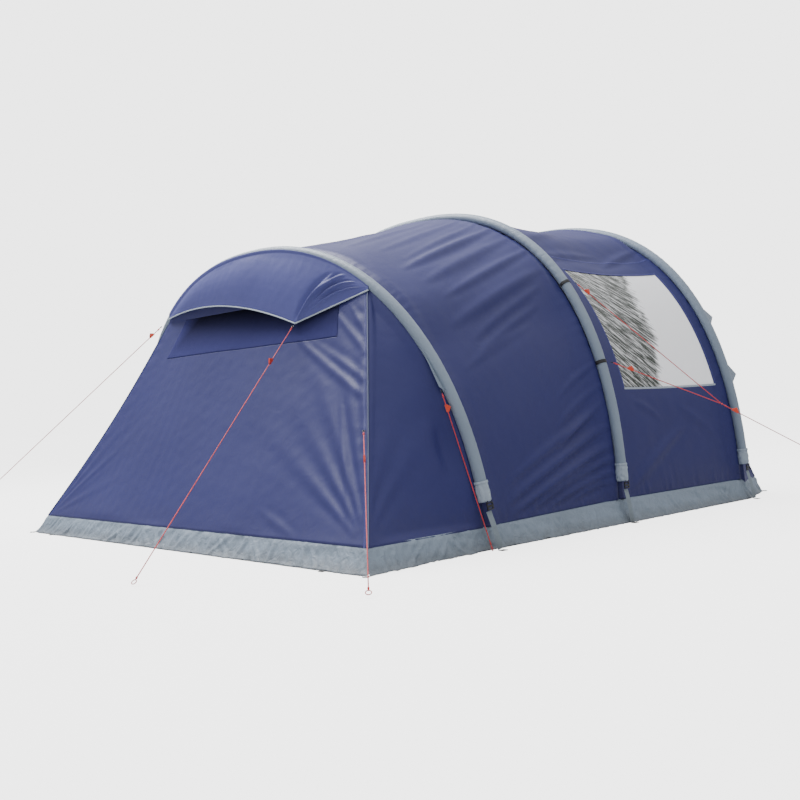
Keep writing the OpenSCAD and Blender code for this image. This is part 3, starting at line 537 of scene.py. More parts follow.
cover_radius = np.array([2, 20, 31, 35.5, 36.6, 37.2, 36.2, 34.6, 37.4, 37.6, 35.0, 33.0, 31.0]) / 1000
cover_rise = np.array([0, 0, 1, 6, 20, 48, 78, 90, 94, 103, 106, 102, 84]) / 1000
stops = np.linspace(0, 12, 61)
radius = np.interp(stops, np.arange(13), cover_radius)[:, None]
rise = np.interp(stops, np.arange(13), cover_rise)[:, None]
turn = np.linspace(0, 2 * np.pi, 56, endpoint=False)[None]
for k, name in enumerate(BEAMS):
    foot, out, back, up = beam_end(k)
    rumple = 0.0016 * uneven(turn * 0.036, rise * 0.6, 0.022, 31 + k) * smooth(radius / 0.03)
    tuck = 0.0012 * np.exp(-((turn - np.pi / 2) / 0.06) ** 2)
    r = radius + rumple - tuck * smooth(rise / 0.01) + 0.0010 * np.cos(4 * turn) * smooth(rise / 0.02)
    cover = (foot + (r * np.cos(turn))[..., None] * out + (r * np.sin(turn))[..., None] * back
             + (rise + 0.0 * turn)[..., None] * up)
    make_piece(f"beam_end_cover_{name}", [cover, mirrored(cover)], cover_cloth,
               around=True, caps=True, stands_for=[f"end_covers_{name}"])
    hang = np.radians(np.linspace(0, 180, 13))
    bent = [(PIN_OUT + LOOP_RADIUS * np.cos(a), -PIN_DROP - LOOP_RADIUS * np.sin(a)) for a in hang]
    loop = np.array([(PIN_OUT + LOOP_RADIUS, 0.005), *bent, (PIN_OUT - LOOP_RADIUS, 0.005)])
    loops = []
    for aside in (-0.015, 0.015):
        bend = foot + loop[:, :1] * out + aside * back + loop[:, 1:] * up
        loops.append(carried(bend, band(0.005, 0.0014), back))
    make_piece(f"buckle_loops_{name}", loops + [mirrored(g) for g in loops], black_webbing,
               around=True, caps=True)
    start = foot + (PIN_OUT - 0.006) * np.array([1, 0, 0]) - [0, 0, PIN_DROP + 0.038]
    end = np.array([half_width[k] + 0.022, station[k], 0.006])
    share = np.linspace(0, 1, 40)[:, None]
    path = start * (1 - share) + end * share
    path = path + np.array([0.004, 0, 0]) * np.sin(np.pi * share)
    path = path + np.array([0.0008, 0, 0]) * uneven(share * 0.25, 0 * share, 0.06, 41 + k)
    strap = carried(path, band(STRAP_WIDTH, 0.0018), (0, 1, 0))
    make_piece(f"ground_strap_{name}", [strap, mirrored(strap)], grey_webbing,
               around=True, caps=True, stands_for=["ground_straps"])
    for side in ("right", "left"):
        rounded_copy(f"buckle_{name}_{side}", f"ladder_lock_{name}_{side}", 0.0011, black_plastic,
                     f"buckle_{name}_{side}")
rounded_copy("peg_tabs", "hem_peg_tabs", 0.0009, black_webbing, "tent")
rounded_copy("corner_rings", "steel_corner_rings", 0.0012, plated_steel, "tent")

# ---- Fly over the two bays --------------------------------------------------------------
# Navy coated polyester, cut as one sheet for each bay and sewn along both sleeves. The
# pull of the beams and guys throws long creases from the seams and the corners.
HEM = 0.110
REFERENCE_ROUNDNESS = 2.4
FLANK = 0.026
CLOTH_WALL = 0.0016
FLY_INSET = 0.0704
BAY_DIPS = (0.022, 0.055)
ROOF_FULLNESS = (0.046, 0.058)
ROOF_ANGLES = ((34, 132), (53, 127))
ROOF_SEAMS = (55.5, 124.5)
WINDOW = {"angles": (19.5, 50.0), "shares": (0.18, 0.92)}
DOOR = {"angles": (130.0, 177.0), "shares": (0.22, 0.76)}
bay_length = np.diff(station)
navy = dict(colour=(0.026, 0.029, 0.138), pitch=0.0007, rough=0.50, size=0.09, crease=0.0007,
            thread=0.00006, vary=0.04, Specular_IOR_Level=0.38, Specular_Tint=(0.82, 0.84, 1.0, 1.0))
fly_cloth = cloth_material("fly_cloth", soil=0.12, soil_height=0.30, **navy)
seam_cloth = cloth_material("fly_seam", stitches=0.0035, **{**navy, "colour": (0.034, 0.038, 0.165),
                                                            "crease": 0.0004})


def crease_shape(x):
    """Across a crease: a rounded crest with a hollow beside it."""
    return np.exp(-x * x) - 0.55 * np.exp(-((x - 1.7) / 1.1) ** 2) - 0.25 * np.exp(-((x + 1.8) / 1.2) ** 2)


def fold(a, b, start, end, width, depth, bend=0.0):
    """Height of one crease on flat cloth, in metres: it runs from start to end, bowed to the
    side by bend, swells and dies as a half sine, and is widest in its middle."""
    run = np.subtract(end, start)
    length = np.hypot(*run)
    along = ((a - start[0]) * run[0] + (b - start[1]) * run[1]) / length ** 2
    aside = ((b - start[1]) * run[0] - (a - start[0]) * run[1]) / length
    swell = np.sin(np.pi * np.clip(along, 0, 1)) ** 0.8
    aside = aside - bend * swell
    return depth * swell * crease_shape(aside / (width * (0.55 + 0.6 * swell)))


def fan(a, b, centre, aim, spread, count, reach, depth, seed):
    """Creases that spread from a point under tension: count of them within spread degrees
    of each other round the direction aim, each dying away at its own share of the reach."""
    rng = np.random.default_rng(seed)
    away = np.hypot(a - centre[0], b - centre[1])
    bearing = np.degrees(np.arctan2(b - centre[1], a - centre[0])) - aim
    bearing = (bearing + 180) % 360 - 180
    turns = np.linspace(-spread / 2, spread / 2, count) + rng.uniform(-0.3, 0.3, count) * spread / count
    total = 0.0
    for turn, share, weight in zip(turns, rng.uniform(0.55, 1.0, count), rng.uniform(0.5, 1.0, count)):
        width = 0.006 + away * np.radians(spread / count) * 0.26
        swell = smooth(away / (0.35 * reach)) * np.exp(-(away / (share * reach)) ** 3)
        total = total + weight * swell * crease_shape(np.radians(bearing - turn) * away / width)
    return depth * total


def puckers(away, run, pitch, depth, seed):
    """Little gathers square to a seam: strongest on it and gone two pitches away."""
    return depth * np.exp(-away / pitch) * smooth(away / 0.006) * uneven(run, away * 0.15, pitch, seed)


def beside_sleeve(away):
    """How far in the fly lies at a distance from an arch: it hugs the lower side of the
    sleeve, is sewn to its flank, and sinks from there to its own line."""
    hug = SLEEVE_RADIUS + np.sqrt(np.maximum(0, SLEEVE_RADIUS ** 2 - np.minimum(away, FLANK) ** 2)) + 0.0015
    sink = smooth((away - FLANK) / 0.12)
    return hug + (FLY_INSET - hug) * sink


def bay_point(k, angle, share):
    """The stretched fly between arch k and the next: straight lines from arch to arch,
    drawn in by the bay's dip as a parabola; the roof is cut full, so that it stands up
    flush with the sleeves."""
    foot_turn = turn_of_row(HEM)
    angle = angle + foot_turn * np.maximum(0, 1 - angle / 6) ** 2
    angle = angle - foot_turn * np.maximum(0, 1 - (180 - angle) / 6) ** 2
    inset = beside_sleeve(np.minimum(share, 1 - share) * bay_length[k])
    ends = []
    for arch in (k, k + 1):
        rise = np.sin(np.radians(angle)) ** (2 / REFERENCE_ROUNDNESS)
        z = np.maximum(HEM, (crown[arch] - inset) * rise)
        point = arch_at(arch, z, inset)
        point[..., 0] *= np.sign(np.cos(np.radians(angle)))
        ends.append(point)
    point = ends[0] + (ends[1] - ends[0]) * share[..., None]
    spread = smooth((150 - angle) / 30) if k == 0 else 1.0
    dip = BAY_DIPS[k] * spread * np.maximum(0, np.sin(np.radians(angle))) ** 0.8 * 4 * share * (1 - share)
    low, high = ROOF_ANGLES[k]
    roof = smooth((angle - low) / 14) * smooth((high - angle) / 14)
    clear = smooth((np.minimum(share, 1 - share) * bay_length[k] - FLANK) / 0.08)
    dip = dip - ROOF_FULLNESS[k] * roof * clear
    middle = point / np.array([-half_width[k], 1.0, -crown[k]]) * [1, 0, 1]
    return point + unit(middle) * dip[..., None]


def turn_of_row(z):
    """The angle of the row that is at this height on the lowest arch."""
    return np.degrees(np.arcsin((z / (crown[0] - FLY_INSET)) ** (REFERENCE_ROUNDNESS / 2)))


row_angles = np.linspace(0, 180, 361)
row_middles = bay_point(0, row_angles[:, None], np.full((361, 1), 0.5))
row_girth = walked(row_middles, 0)[:, 0]


def girth(angle):
    """Distance up the cloth from the right-hand hem, in metres, at an arch angle."""
    return np.interp(angle, row_angles, row_girth)


# Creases of the front bay as (angle, share) at both ends, width and depth in metres.
FRONT_BAY_CREASES = [
    ((56, 0.22), (66, 0.97), 0.030, 0.011), ((60, 0.30), (71, 0.98), 0.024, 0.007),
    ((50, 0.24), (60, 0.95), 0.034, 0.008), ((66, 0.25), (76, 0.95), 0.030, 0.007),
    ((73, 0.18), (84, 0.94), 0.034, 0.008), ((45, 0.28), (54, 0.99), 0.026, 0.008),
    ((38, 0.22), (47, 0.92), 0.034, 0.009), ((34, 0.30), (43, 0.86), 0.026, 0.007),
    ((31, 0.30), (39, 0.80), 0.024, 0.006), ((28, 0.16), (35, 0.70), 0.022, 0.004),
    ((2.5, 0.22), (10, 0.99), 0.026, 0.014), ((2.0, 0.32), (8.0, 0.99), 0.022, 0.012),
    ((2.0, 0.46), (6.0, 0.99), 0.018, 0.010), ((4.0, 0.16), (13, 0.97), 0.026, 0.009),
    ((7.0, 0.18), (16, 0.98), 0.024, 0.006), ((2.0, 0.62), (4.6, 0.98), 0.014, 0.007),
    ((14, 0.60), (20, 0.99), 0.018, 0.006), ((19, 0.66), (24, 0.99), 0.016, 0.005),
    ((10, 0.55), (17, 0.98), 0.018, 0.006), ((80, 0.10), (88, 0.80), 0.034, 0.006),
]
REAR_BAY_CREASES = [
    ((50, 0.02), (55, 0.22), 0.018, 0.007), ((46, 0.02), (52, 0.16), 0.014, 0.005),
    ((40, 0.03), (46, 0.15), 0.014, 0.004), ((55, 0.05), (58, 0.60), 0.030, 0.005),
    ((60, 0.04), (70, 0.55), 0.034, 0.007), ((70, 0.10), (82, 0.75), 0.036, 0.007),
    ((17, 0.20), (13, 0.42), 0.020, 0.005), ((16, 0.55), (8, 0.90), 0.026, 0.005),
    ((17, 0.88), (22, 0.985), 0.014, 0.005), ((34, 0.95), (42, 0.99), 0.010, 0.004),
    ((2.0, 0.10), (12, 0.60), 0.030, 0.006), ((53, 0.55), (60, 0.98), 0.026, 0.006),
]


def bay_relief(k, angle, share):
    """Height of every crease, gather and swell of a bay above its stretched shape. Both
    sides carry the same kind of creases, a little shifted, and films are nearly smooth."""
    length = bay_length[k]
    total = 0.0
    whole = girth(180.0)
    for side in (1, -1):
        up = girth(angle) if side == 1 else whole - girth(angle)
        near = smooth((whole * 0.56 - up) / 0.30)
        run = share * length
        part = 0.0
        creases = FRONT_BAY_CREASES if k == 0 else REAR_BAY_CREASES
        for i, (start, end, width, depth) in enumerate(creases):
            shift = 0.0 if side == 1 else 1.3 * np.sin(2.7 * i)
            ends = [(girth(max(0.5, turn + shift)), at * length) for turn, at in (start, end)]
            depth = depth * (2.0 if start[0] < 12 else 1.15 if start[0] < 60 else 0.75)
            part = part + fold(up, run, ends[0], ends[1], width, depth, bend=-0.02)
        total = total + part * near
    up = girth(angle)
    total = total + 0.003 * uneven(up, share * length, 0.50, 51 + k)
    total = total + 0.0008 * uneven(up * 0.5, share * length, 0.11, 61 + k)
    for edge, seed in ((share, 71), (1 - share, 72)):
        total = total + puckers(edge * length, up, 0.050, 0.0042, seed + 5 * k)
    hem = np.minimum(up, whole - up)
    total = total + puckers(hem, share * length, 0.06, 0.004, 81 + k)
    total = total * smooth(np.minimum(share, 1 - share) * length / 0.035) * smooth(hem / 0.03)
    hole = WINDOW if k == 1 else DOOR
    for turn in ((angle, 180 - angle) if k == 1 else (angle,)):
        low, high = (girth(value) for value in hole["angles"])
        left, right = (value * length for value in hole["shares"])
        beyond_a = np.maximum(np.maximum(low - girth(turn), girth(turn) - high), 0)
        beyond_b = np.maximum(np.maximum(left - share * length, share * length - right), 0)
        total = total * (0.12 + 0.88 * smooth(np.hypot(beyond_a, beyond_b) / 0.09))
    return total


def bay_cloth(k, angle, share, lift=0.0):
    """Points on the creased cloth of a bay, raised off it by lift."""
    angle, share = np.broadcast_arrays(np.asarray(angle, float), np.asarray(share, float))
    step = 1e-3
    up = bay_point(k, angle + step, share) - bay_point(k, angle - step, share)
    ahead = bay_point(k, angle, np.minimum(share + step, 1))
    along = ahead - bay_point(k, angle, np.maximum(share - step, 0))
    normal = unit(np.cross(along, up))
    return bay_point(k, angle, share) + normal * (bay_relief(k, angle, share) + lift)[..., None]


def strip_rise(aside):
    """How far a sewn strip stands off the cloth, from -1 to 1 across it."""
    return 0.0011 * (1 - aside ** 6)


def spaced(stops, step):
    """Numbers from the first stop to the last, through each stop, about one step apart."""
    parts = [np.linspace(a, b, max(2, int(round((b - a) / step)) + 1))[:-1]
             for a, b in zip(stops, stops[1:])]
    return np.append(np.concatenate(parts), stops[-1])


def within(values, low, high):
    """Which steps between neighbouring values lie inside a range."""
    middle = (values[:-1] + values[1:]) / 2
    return (middle > low) & (middle < high)


for k, (name, hole) in enumerate((("front_bay_fly", DOOR), ("rear_bay_fly", WINDOW))):
    low, high = hole["angles"]
    opposite = {180 - low, 180 - high} if k == 1 else set()
    turns = spaced(sorted({0.0, low, high, 180.0} | opposite), 0.44)
    flank = np.array([0.5, 1.0, 1.8]) * FLANK / bay_length[k]
    shares = spaced([0.0, *flank, *hole["shares"], *(1 - flank[::-1]), 1.0], 0.0125 / bay_length[k])
    cut = within(turns, low, high)[:, None] & within(shares, *hole["shares"])[None]
    if k == 1:
        cut |= within(turns, 180 - high, 180 - low)[:, None] & within(shares, *hole["shares"])[None]
    points = bay_cloth(k, turns[:, None], shares[None])
    piece = make_piece(f"cloth_of_{name}", points, fly_cloth, keep=~cut, thickness=CLOTH_WALL,
                       stands_for=[name])

# Flat seams where the roof is joined to the walls of the rear bay.
aside = np.linspace(-1, 1, 7)[None]
lengthwise = np.linspace(0.04, 0.96, 120)[:, None]
strips = [bay_cloth(1, turn + 0.28 * aside, lengthwise, lift=strip_rise(aside)) for turn in ROOF_SEAMS]
make_piece("roof_seams", strips, seam_cloth, centred=True)

# ---- Windows ----------------------------------------------------------------------------
# Clear flexible PVC film sewn behind the fly on both sides, with a folded edge stitched all round. Its
# colour is a painted reflection: thin slanting pale streaks on dark green over the front part, and over the
# rear part a pale painted reflection of bright sky that glows.
film, tree, sockets = new_material("clear_film", Roughness=0.08, IOR=1.5, Coat_Weight=0.6,
                                   Coat_Roughness=0.03)
where = place_of(tree, "UV")
slanted = put(tree, "VectorRotate", {"Vector": where, "Angle": np.radians(-36)}, rotation_type="Z_AXIS")
drawn = put(tree, "Mapping", {"Vector": slanted.outputs[0], "Scale": (84.0, 6.0, 1.0)})
reflection_streak_noise = noise(tree, drawn.outputs[0], 1.0, 5.0, 0.68, 0.35)
reflection_cloud_noise = noise(tree, where, 3.1, 6.0, 0.6)
spot = parts_of(tree, where)
lean_over = maths(tree, "ADD", spot[1], maths(tree, "MULTIPLY", spot[0], -0.28))
lean_over = maths(tree, "ADD", lean_over, maths(tree, "MULTIPLY", reflection_streak_noise, 0.30))
lean_over = maths(tree, "ADD", lean_over, maths(tree, "MULTIPLY", reflection_cloud_noise, 0.34))
# Painted reflection of bright sky over the rear part of the window, which also glows through the emission
# below.
painted_sky_reflection = ranged(tree, lean_over, 0.68, 0.75)
painted_streak_reflection = maths(tree, "MULTIPLY", ranged(tree, reflection_streak_noise, 0.47, 0.60), 0.85)
painted_reflection = maths(tree, "MAXIMUM", painted_streak_reflection, painted_sky_reflection)
# Painted reflection: dark green of trees blended to near white by the streaks and the rear part.
painted_reflection_tint = mixed(tree, painted_reflection, (0.009, 0.024, 0.010, 1.0), (0.95, 0.96, 1.0, 1.0))
tree.links.new(painted_reflection_tint, sockets["Base Color"])
tree.links.new(painted_reflection_tint, sockets["Emission Color"])
tree.links.new(maths(tree, "MULTIPLY", painted_sky_reflection, 0.22), sockets["Emission Strength"])
tree.links.new(maths(tree, "ADD", 0.72, maths(tree, "MULTIPLY", painted_reflection, 0.24)), sockets["Alpha"])
bump = put(tree, "Bump", {"Height": noise(tree, where, 9.0), "Distance": 0.004})
tree.links.new(bump.outputs[0], sockets["Normal"])

bottom_hem = cloth_material("window_hem", (0.33, 0.38, 0.46), pitch=0.0007, rough=0.45, size=0.03,
                            crease=0.0008, thread=0.00008, stitches=0.0025)
low, high = WINDOW["angles"]
left, right = WINDOW["shares"]
for side in ("right", "left"):
    def place(turn):
        """The same angle, or its mirror image on the left."""
        return turn if side == "right" else 180 - turn

    turns = place(np.linspace(low - 0.2, high + 0.2, 60))[:, None]
    shares = np.linspace(left - 0.006, right + 0.006, 80)[None]
    pane = make_piece(f"window_film_{side}", bay_cloth(1, turns, shares, lift=-0.0022), film,
                      thickness=0.0006, stands_for=[f"window_{side}"])
    aside = np.linspace(-1, 1, 7)[None]
    crown_line = 0.0012 * (1 - aside ** 6)
    lengthwise = np.linspace(left - 0.008, right + 0.008, 110)[:, None]
    edges = [bay_cloth(1, place(high + 0.22 + 0.28 * aside), lengthwise, lift=crown_line)]
    for share in (left - 0.005, right + 0.005):
        upright_turns = place(np.linspace(low, high, 90)[:, None])
        edges.append(bay_cloth(1, upright_turns, share + 0.0055 * aside, lift=crown_line))
    make_piece(f"window_edging_{side}", edges, seam_cloth, centred=True)
    lengthwise = np.linspace(left - 0.006, right + 0.006, 110)[:, None]
    hem = bay_cloth(1, place(low - 0.12 + 0.20 * aside), lengthwise, lift=0.0016 * (1 - aside ** 6))
    make_piece(f"window_hem_{side}", hem, bottom_hem, centred=True)

# ---- Side door and its zip ----------------------------------------------------------------
# The door on the left drops outwards about its lower edge. Black tape backs the gap round
# its other three edges; the coil zip and its metal slider lie along the top, above the gap.
zip_tape = cloth_material("zip_tape", (0.020, 0.021, 0.027), pitch=0.0012, rough=0.6, size=0.03,
                          crease=0.0004, thread=0.0002, stitches=0.004)
zinc = hard_material("zinc_slider", (0.40, 0.41, 0.43), 0.32, scale=700.0, Metallic=1.0)
low, high = DOOR["angles"]
left, right = DOOR["shares"]
length = bay_length[0]
TAPE_LIFT = -0.0042
TEETH = 162
gap_turn = 0.30
gap_share = 0.006 / length
door = make_piece("side_door_cloth",
                  bay_cloth(0, np.linspace(low + gap_turn, high - gap_turn, 120)[:, None],
                            np.linspace(left + gap_share, right - gap_share, 56)[None]),
                  fly_cloth, body="side_door", thickness=CLOTH_WALL, stands_for=["side_door"])
aside = np.linspace(-1, 1, 5)[None]
lengthwise = np.linspace(left - 0.008, right + 0.008, 70)[:, None]
tapes = [bay_cloth(0, low + 0.45 * aside, lengthwise, lift=TAPE_LIFT)]
upward = np.linspace(low - 0.4, high, 120)[:, None]
for share in (left, right):
    tapes.append(bay_cloth(0, upward, share + 0.011 * aside, lift=TAPE_LIFT))
make_piece("door_zip_backing", tapes, zip_tape, thickness=0.0008, centred=True)
ends = []
for share in DOOR["shares"]:
    here = bay_point(0, np.array([low]), np.array([share]))[0]
    rise = unit(bay_point(0, np.array([low - 5]), np.array([share]))[0] - here)
    lifted = unit(np.cross(rise, (0, 1, 0))) * [1, 0, 1]
    ends.append(here + 0.022 * rise + 0.005 * lifted)
share = np.linspace(0, 1, 650)[:, None]
run = ends[0] * (1 - share) + ends[1] * share
tooth = 1 + 0.28 * np.sin(np.linspace(0, 2 * np.pi * TEETH, len(run)))[:, None, None]
make_piece("door_zip_tape", [carried(run[::10], band(0.012, 0.002), rise)], zip_tape,
           around=True, caps=True, stands_for=["door_zip"])
coil = carried(run - 0.0004 * lifted, circle(0.0013, 8) * tooth, rise)
make_piece("door_zip_coil", coil, black_plastic, around=True, caps=True)
rounded_copy("zip_slider", "door_zip_slider", 0.0007, zinc, "zip_slider")

# ---- Front and rear panels ----------------------------------------------------------------
# Each end slopes out from its arch to the hem. The front has a long vent of fine black mesh under the
# canopy, darkened further with painted shade; creases run to the pegged corner and away from the guyed tip.
SEAM_TOP = {0: 1.370, 2: 1.500}
CORNER = {0: 1.690, 2: 1.470}
HEM_Y = {0: -2.035, 2: 2.035}
WAY = {0: -1, 2: 1}
SEAM_BOW = 0.030
VENT_HEIGHTS = (1.130, 1.370)
VENT_SHARE = 0.78
PIPED_SEAM = 0.984


def seam_at(k, z):
    """The corner seam of an end at a height: straight in plan, bowed in as a half sine."""
    share = np.asarray(z, float) / SEAM_TOP[k]
    top = arch_at(k, np.array(SEAM_TOP[k]), beside_sleeve(FLANK))
    bow = SEAM_BOW * np.sin(np.pi * share)
    x = CORNER[k] + (top[0] - CORNER[k]) * share - bow
    y = HEM_Y[k] + (top[1] + WAY[k] * FLANK - HEM_Y[k]) * share - WAY[k] * bow
    return np.stack([x, y, z + 0.0 * share], axis=-1)


def end_point(k, column, z):
    """The stretched end panel: level lines from seam to seam, and from side to side of the
    arch above the seams. column is from -1 at the left edge to 1 at the right."""
    low_edge = seam_at(k, np.minimum(z, SEAM_TOP[k]))
    high_edge = arch_at(k, np.maximum(z, SEAM_TOP[k]), beside_sleeve(FLANK)) + [0, WAY[k] * FLANK, 0]
    edge = np.where((z <= SEAM_TOP[k])[..., None], low_edge, high_edge)
    return edge * np.stack([column, np.ones_like(column), np.ones_like(column)], axis=-1)


def end_relief(k, x, z):
    """Creases of an end panel: a fan from each pegged corner, pulls below the canopy's tip
    on the front, and slow swells."""
    total = 0.004 * uneven(x, z, 0.65, 91 + k) + 0.0006 * uneven(x, z, 0.10, 93 + k)
    corner = CORNER[k] - 0.06
    total = total + fan(x, z, (corner, 0.10), 131, 46, 6, 1.30, 0.009, 95 + k)
    total = total + 0.6 * fan(-x, z, (corner, 0.10), 135, 46, 6, 1.0, 0.007, 97 + k)
    if k == 0:
        for start, end, width, depth in (((0.48, 1.16), (1.30, 0.76), 0.020, 0.008),
                                         ((0.60, 1.14), (1.30, 0.84), 0.018, 0.006),
                                         ((0.74, 1.30), (1.26, 0.95), 0.016, 0.005),
                                         ((0.90, 1.30), (1.20, 1.05), 0.014, 0.004),
                                         ((0.70, 0.24), (1.10, 0.12), 0.016, 0.004),
                                         ((1.05, 0.80), (1.46, 0.16), 0.018, 0.006)):
            total = total + fold(x, z, start, end, width, depth)
    side = np.abs(seam_at(k, np.minimum(z, SEAM_TOP[k]))[..., 0] - np.abs(x))
    total = total + puckers(side, z, 0.05, 0.003, 99 + k)
    return total * smooth(side / 0.04) * smooth((z - HEM) / 0.04) * smooth((crown[k] - 0.10 - z) / 0.1)


def end_cloth(k, column, z, lift=0.0):
    """Points on the creased cloth of an end panel, raised off it by lift."""
    column, z = np.broadcast_arrays(np.asarray(column, float), np.asarray(z, float))
    point = end_point(k, column, z)
    step = 1e-3
    rise = end_point(k, column, z + step) - end_point(k, column, z - step)
    normal = unit(np.cross(rise, np.broadcast_to((WAY[k], 0.0, 0.0), rise.shape)))
    normal = normal * np.sign(normal[..., 1:2] * WAY[k])
    return point + normal * (end_relief(k, point[..., 0], z) + lift)[..., None]


def end_heights(k, stops):
    """Heights of the rows of an end panel: even up to the top of the seam, then by the
    angle of the arch, so that they crowd towards its crown."""
    tall = crown[k] - beside_sleeve(FLANK)
    start = turn_of(k, SEAM_TOP[k], beside_sleeve(FLANK))
    angles = np.linspace(start, 89.6, int((90 - start) / 0.8))[1:]
    return np.append(spaced(stops, 0.0125), tall * np.sin(np.radians(angles)) ** (2 / roundness[k]))


columns = spaced([-1, -VENT_SHARE, VENT_SHARE, 1], 0.008)
for k, name, stops in ((0, "front_panel", [HEM, *VENT_HEIGHTS]), (2, "rear_panel", [HEM, SEAM_TOP[2]])):
    heights = end_heights(k, stops)
    cut = np.zeros((len(heights) - 1, len(columns) - 1), bool)
    if k == 0:
        cut = within(heights, *VENT_HEIGHTS)[:, None] & within(columns, -VENT_SHARE, VENT_SHARE)[None]
    panel = make_piece(f"cloth_of_{name}", end_cloth(k, columns[None], heights[:, None]), fly_cloth,
                       keep=~cut, thickness=CLOTH_WALL, stands_for=[name])
    strips = []
    aside = np.linspace(-1, 1, 7)[None]
    for mirror in (1, -1):
        upward = np.linspace(HEM, SEAM_TOP[k], 110)[:, None]
        strips.append(end_cloth(k, mirror * (PIPED_SEAM + 0.0045 * aside), upward, lift=strip_rise(aside)))
    if k == 0:
        sideways = np.linspace(-VENT_SHARE, VENT_SHARE, 180)[:, None]
        strips.append(end_cloth(0, sideways, VENT_HEIGHTS[1] + 0.008 * aside, lift=strip_rise(aside)))
    make_piece(f"seams_of_{name}", strips, seam_cloth, centred=True)

# Fine black mesh over the vent. Its near-black colour is also painted shade from the canopy above: towards
# its lower edge and its ends it fades to navy, a painted soft edge of that shadow, and its thread crests
# carry a faint painted highlight.
netting, tree, sockets = new_material("vent_netting", Roughness=0.9, Specular_IOR_Level=0.1)
threads = use(tree, weave, Pitch=0.0018)
spot = parts_of(tree, place_of(tree, "UV"))
# Painted shadow: the netting turns from near black to navy towards its lower edge and its ends.
painted_shadow_low_edge = ranged(tree, spot[1], 0.21, 0.02)
from_middle = maths(tree, "ABSOLUTE", maths(tree, "SUBTRACT", spot[0], 0.82))
painted_shadow_end_edge = ranged(tree, from_middle, 0.52, 0.79)
painted_shadow_fade = maths(tree, "MULTIPLY", maths(tree, "MAXIMUM", painted_shadow_low_edge, painted_shadow_end_edge), 0.20)
shade = put(tree, "Mix", {0: threads["Height"], 2: 0.05, 3: 0.35}).outputs[0]
painted_shade_and_thread_highlight = maths(tree, "ADD", painted_shadow_fade, maths(tree, "MULTIPLY", shade, 0.02))
net_tint = mixed(tree, painted_shade_and_thread_highlight, (0.001, 0.001, 0.002, 1.0), (0.19, 0.20, 0.72, 1.0))
tree.links.new(net_tint, sockets["Base Color"])
bump = put(tree, "Bump", {"Height": threads["Height"], "Distance": 0.0003})
tree.links.new(bump.outputs[0], sockets["Normal"])
sideways = np.linspace(-VENT_SHARE - 0.004, VENT_SHARE + 0.004, 200)[None]
upward = np.linspace(VENT_HEIGHTS[0] - 0.006, VENT_HEIGHTS[1] + 0.006, 30)[:, None]
mesh_panel = make_piece("vent_netting", end_cloth(0, sideways, upward, lift=0.0012), netting,
                        thickness=0.0006, stands_for=["front_vent_mesh"])

# ---- Side walls of the two ends -------------------------------------------------------------
# A narrow gore closes each corner between the arch and the seam. It is pulled from its
# pegged lower corner, so its creases fan out from there. It hangs slack and hollow, and
# more so near the front guy, so that the runner on that guy clears it.
WALL_HOLLOW = 0.026
RUNNER_HOLLOW = 0.030
for k, name in ((0, "front_side_panels"), (2, "rear_side_panels")):
    heights = np.linspace(HEM, SEAM_TOP[k] - 0.004, 112)[:, None]
    share = np.append(np.linspace(0, 1, 70), 1 + 0.01 * np.arange(1, 5))[None]
    seam = seam_at(k, heights) - np.array([0, WAY[k] * 0.002, 0])
    arch = arch_at(k, heights, beside_sleeve(FLANK)) + [0, WAY[k] * FLANK, 0]
    flat = seam + (arch - seam) * np.minimum(share, 1)[..., None]
    tucked = FLANK * (1 - np.maximum(share - 1, 0) / 0.04)
    under = arch_at(k, heights, beside_sleeve(tucked)) + tucked[..., None] * [0, WAY[k], 0]
    flat = np.where((share > 1)[..., None], under, flat)
    across_wall = np.abs(flat[..., 1] - arch[:1, :1, 1])
    for side, turn_over in (("right", (1, 1, 1)), ("left", (-1, 1, 1))):
        seed = 105 + k + (side == "left")
        low_corner = abs(HEM_Y[k] - station[k]) - 0.05
        relief = fan(across_wall, heights, (low_corner, 0.09), 112, 62, 6, 1.0, 0.009, seed)
        relief = relief + 0.005 * uneven(across_wall, heights, 0.40, seed + 3)
        relief = relief + 0.0012 * uneven(across_wall, heights, 0.09, seed + 6)
        relief = relief + puckers(share * 0.8, heights + 0 * share, 0.05, 0.003, seed + 9)
        width = np.abs(seam[..., 1] - arch[..., 1])
        pinned = smooth(np.minimum(share, 1 - share) * width / 0.04) * smooth((heights - HEM) / 0.04)
        hollow = WALL_HOLLOW * np.sin(np.pi * np.minimum(share, 1))
        slack = np.exp(-((share - 0.84) / 0.10) ** 2 - ((heights - 0.52) / 0.16) ** 2)
        hollow = hollow + RUNNER_HOLLOW * (k == 0) * slack
        wall = flat + np.array([1.0, 0, 0.06]) * (0.5 * relief * pinned - hollow * pinned)[..., None]
        piece = make_piece(f"cloth_of_{name}_{side}", wall * turn_over, fly_cloth,
                           thickness=CLOTH_WALL, stands_for=[name])
        reach = abs(HEM_Y[k] - station[k])

# ---- Canopy and piping --------------------------------------------------------------------
# The canopy hangs from the front sleeve. One guy pulls its tip forward and off to the
# right, so strong creases fan from the tip; light corded piping finishes the free edge.
CANOPY_FROM = turn_of(0, SEAM_TOP[0], FLY_INSET) + 1
CANOPY_TIP = np.array([0.500, arch_y(0, SEAM_TOP[0]) - 0.123, 1.231])
TIP_SHARE = 0.25
CANOPY_SPAN = 1.95
PIPING_RADIUS = 0.0042
SEAM_PIPING_RADIUS = 0.0026
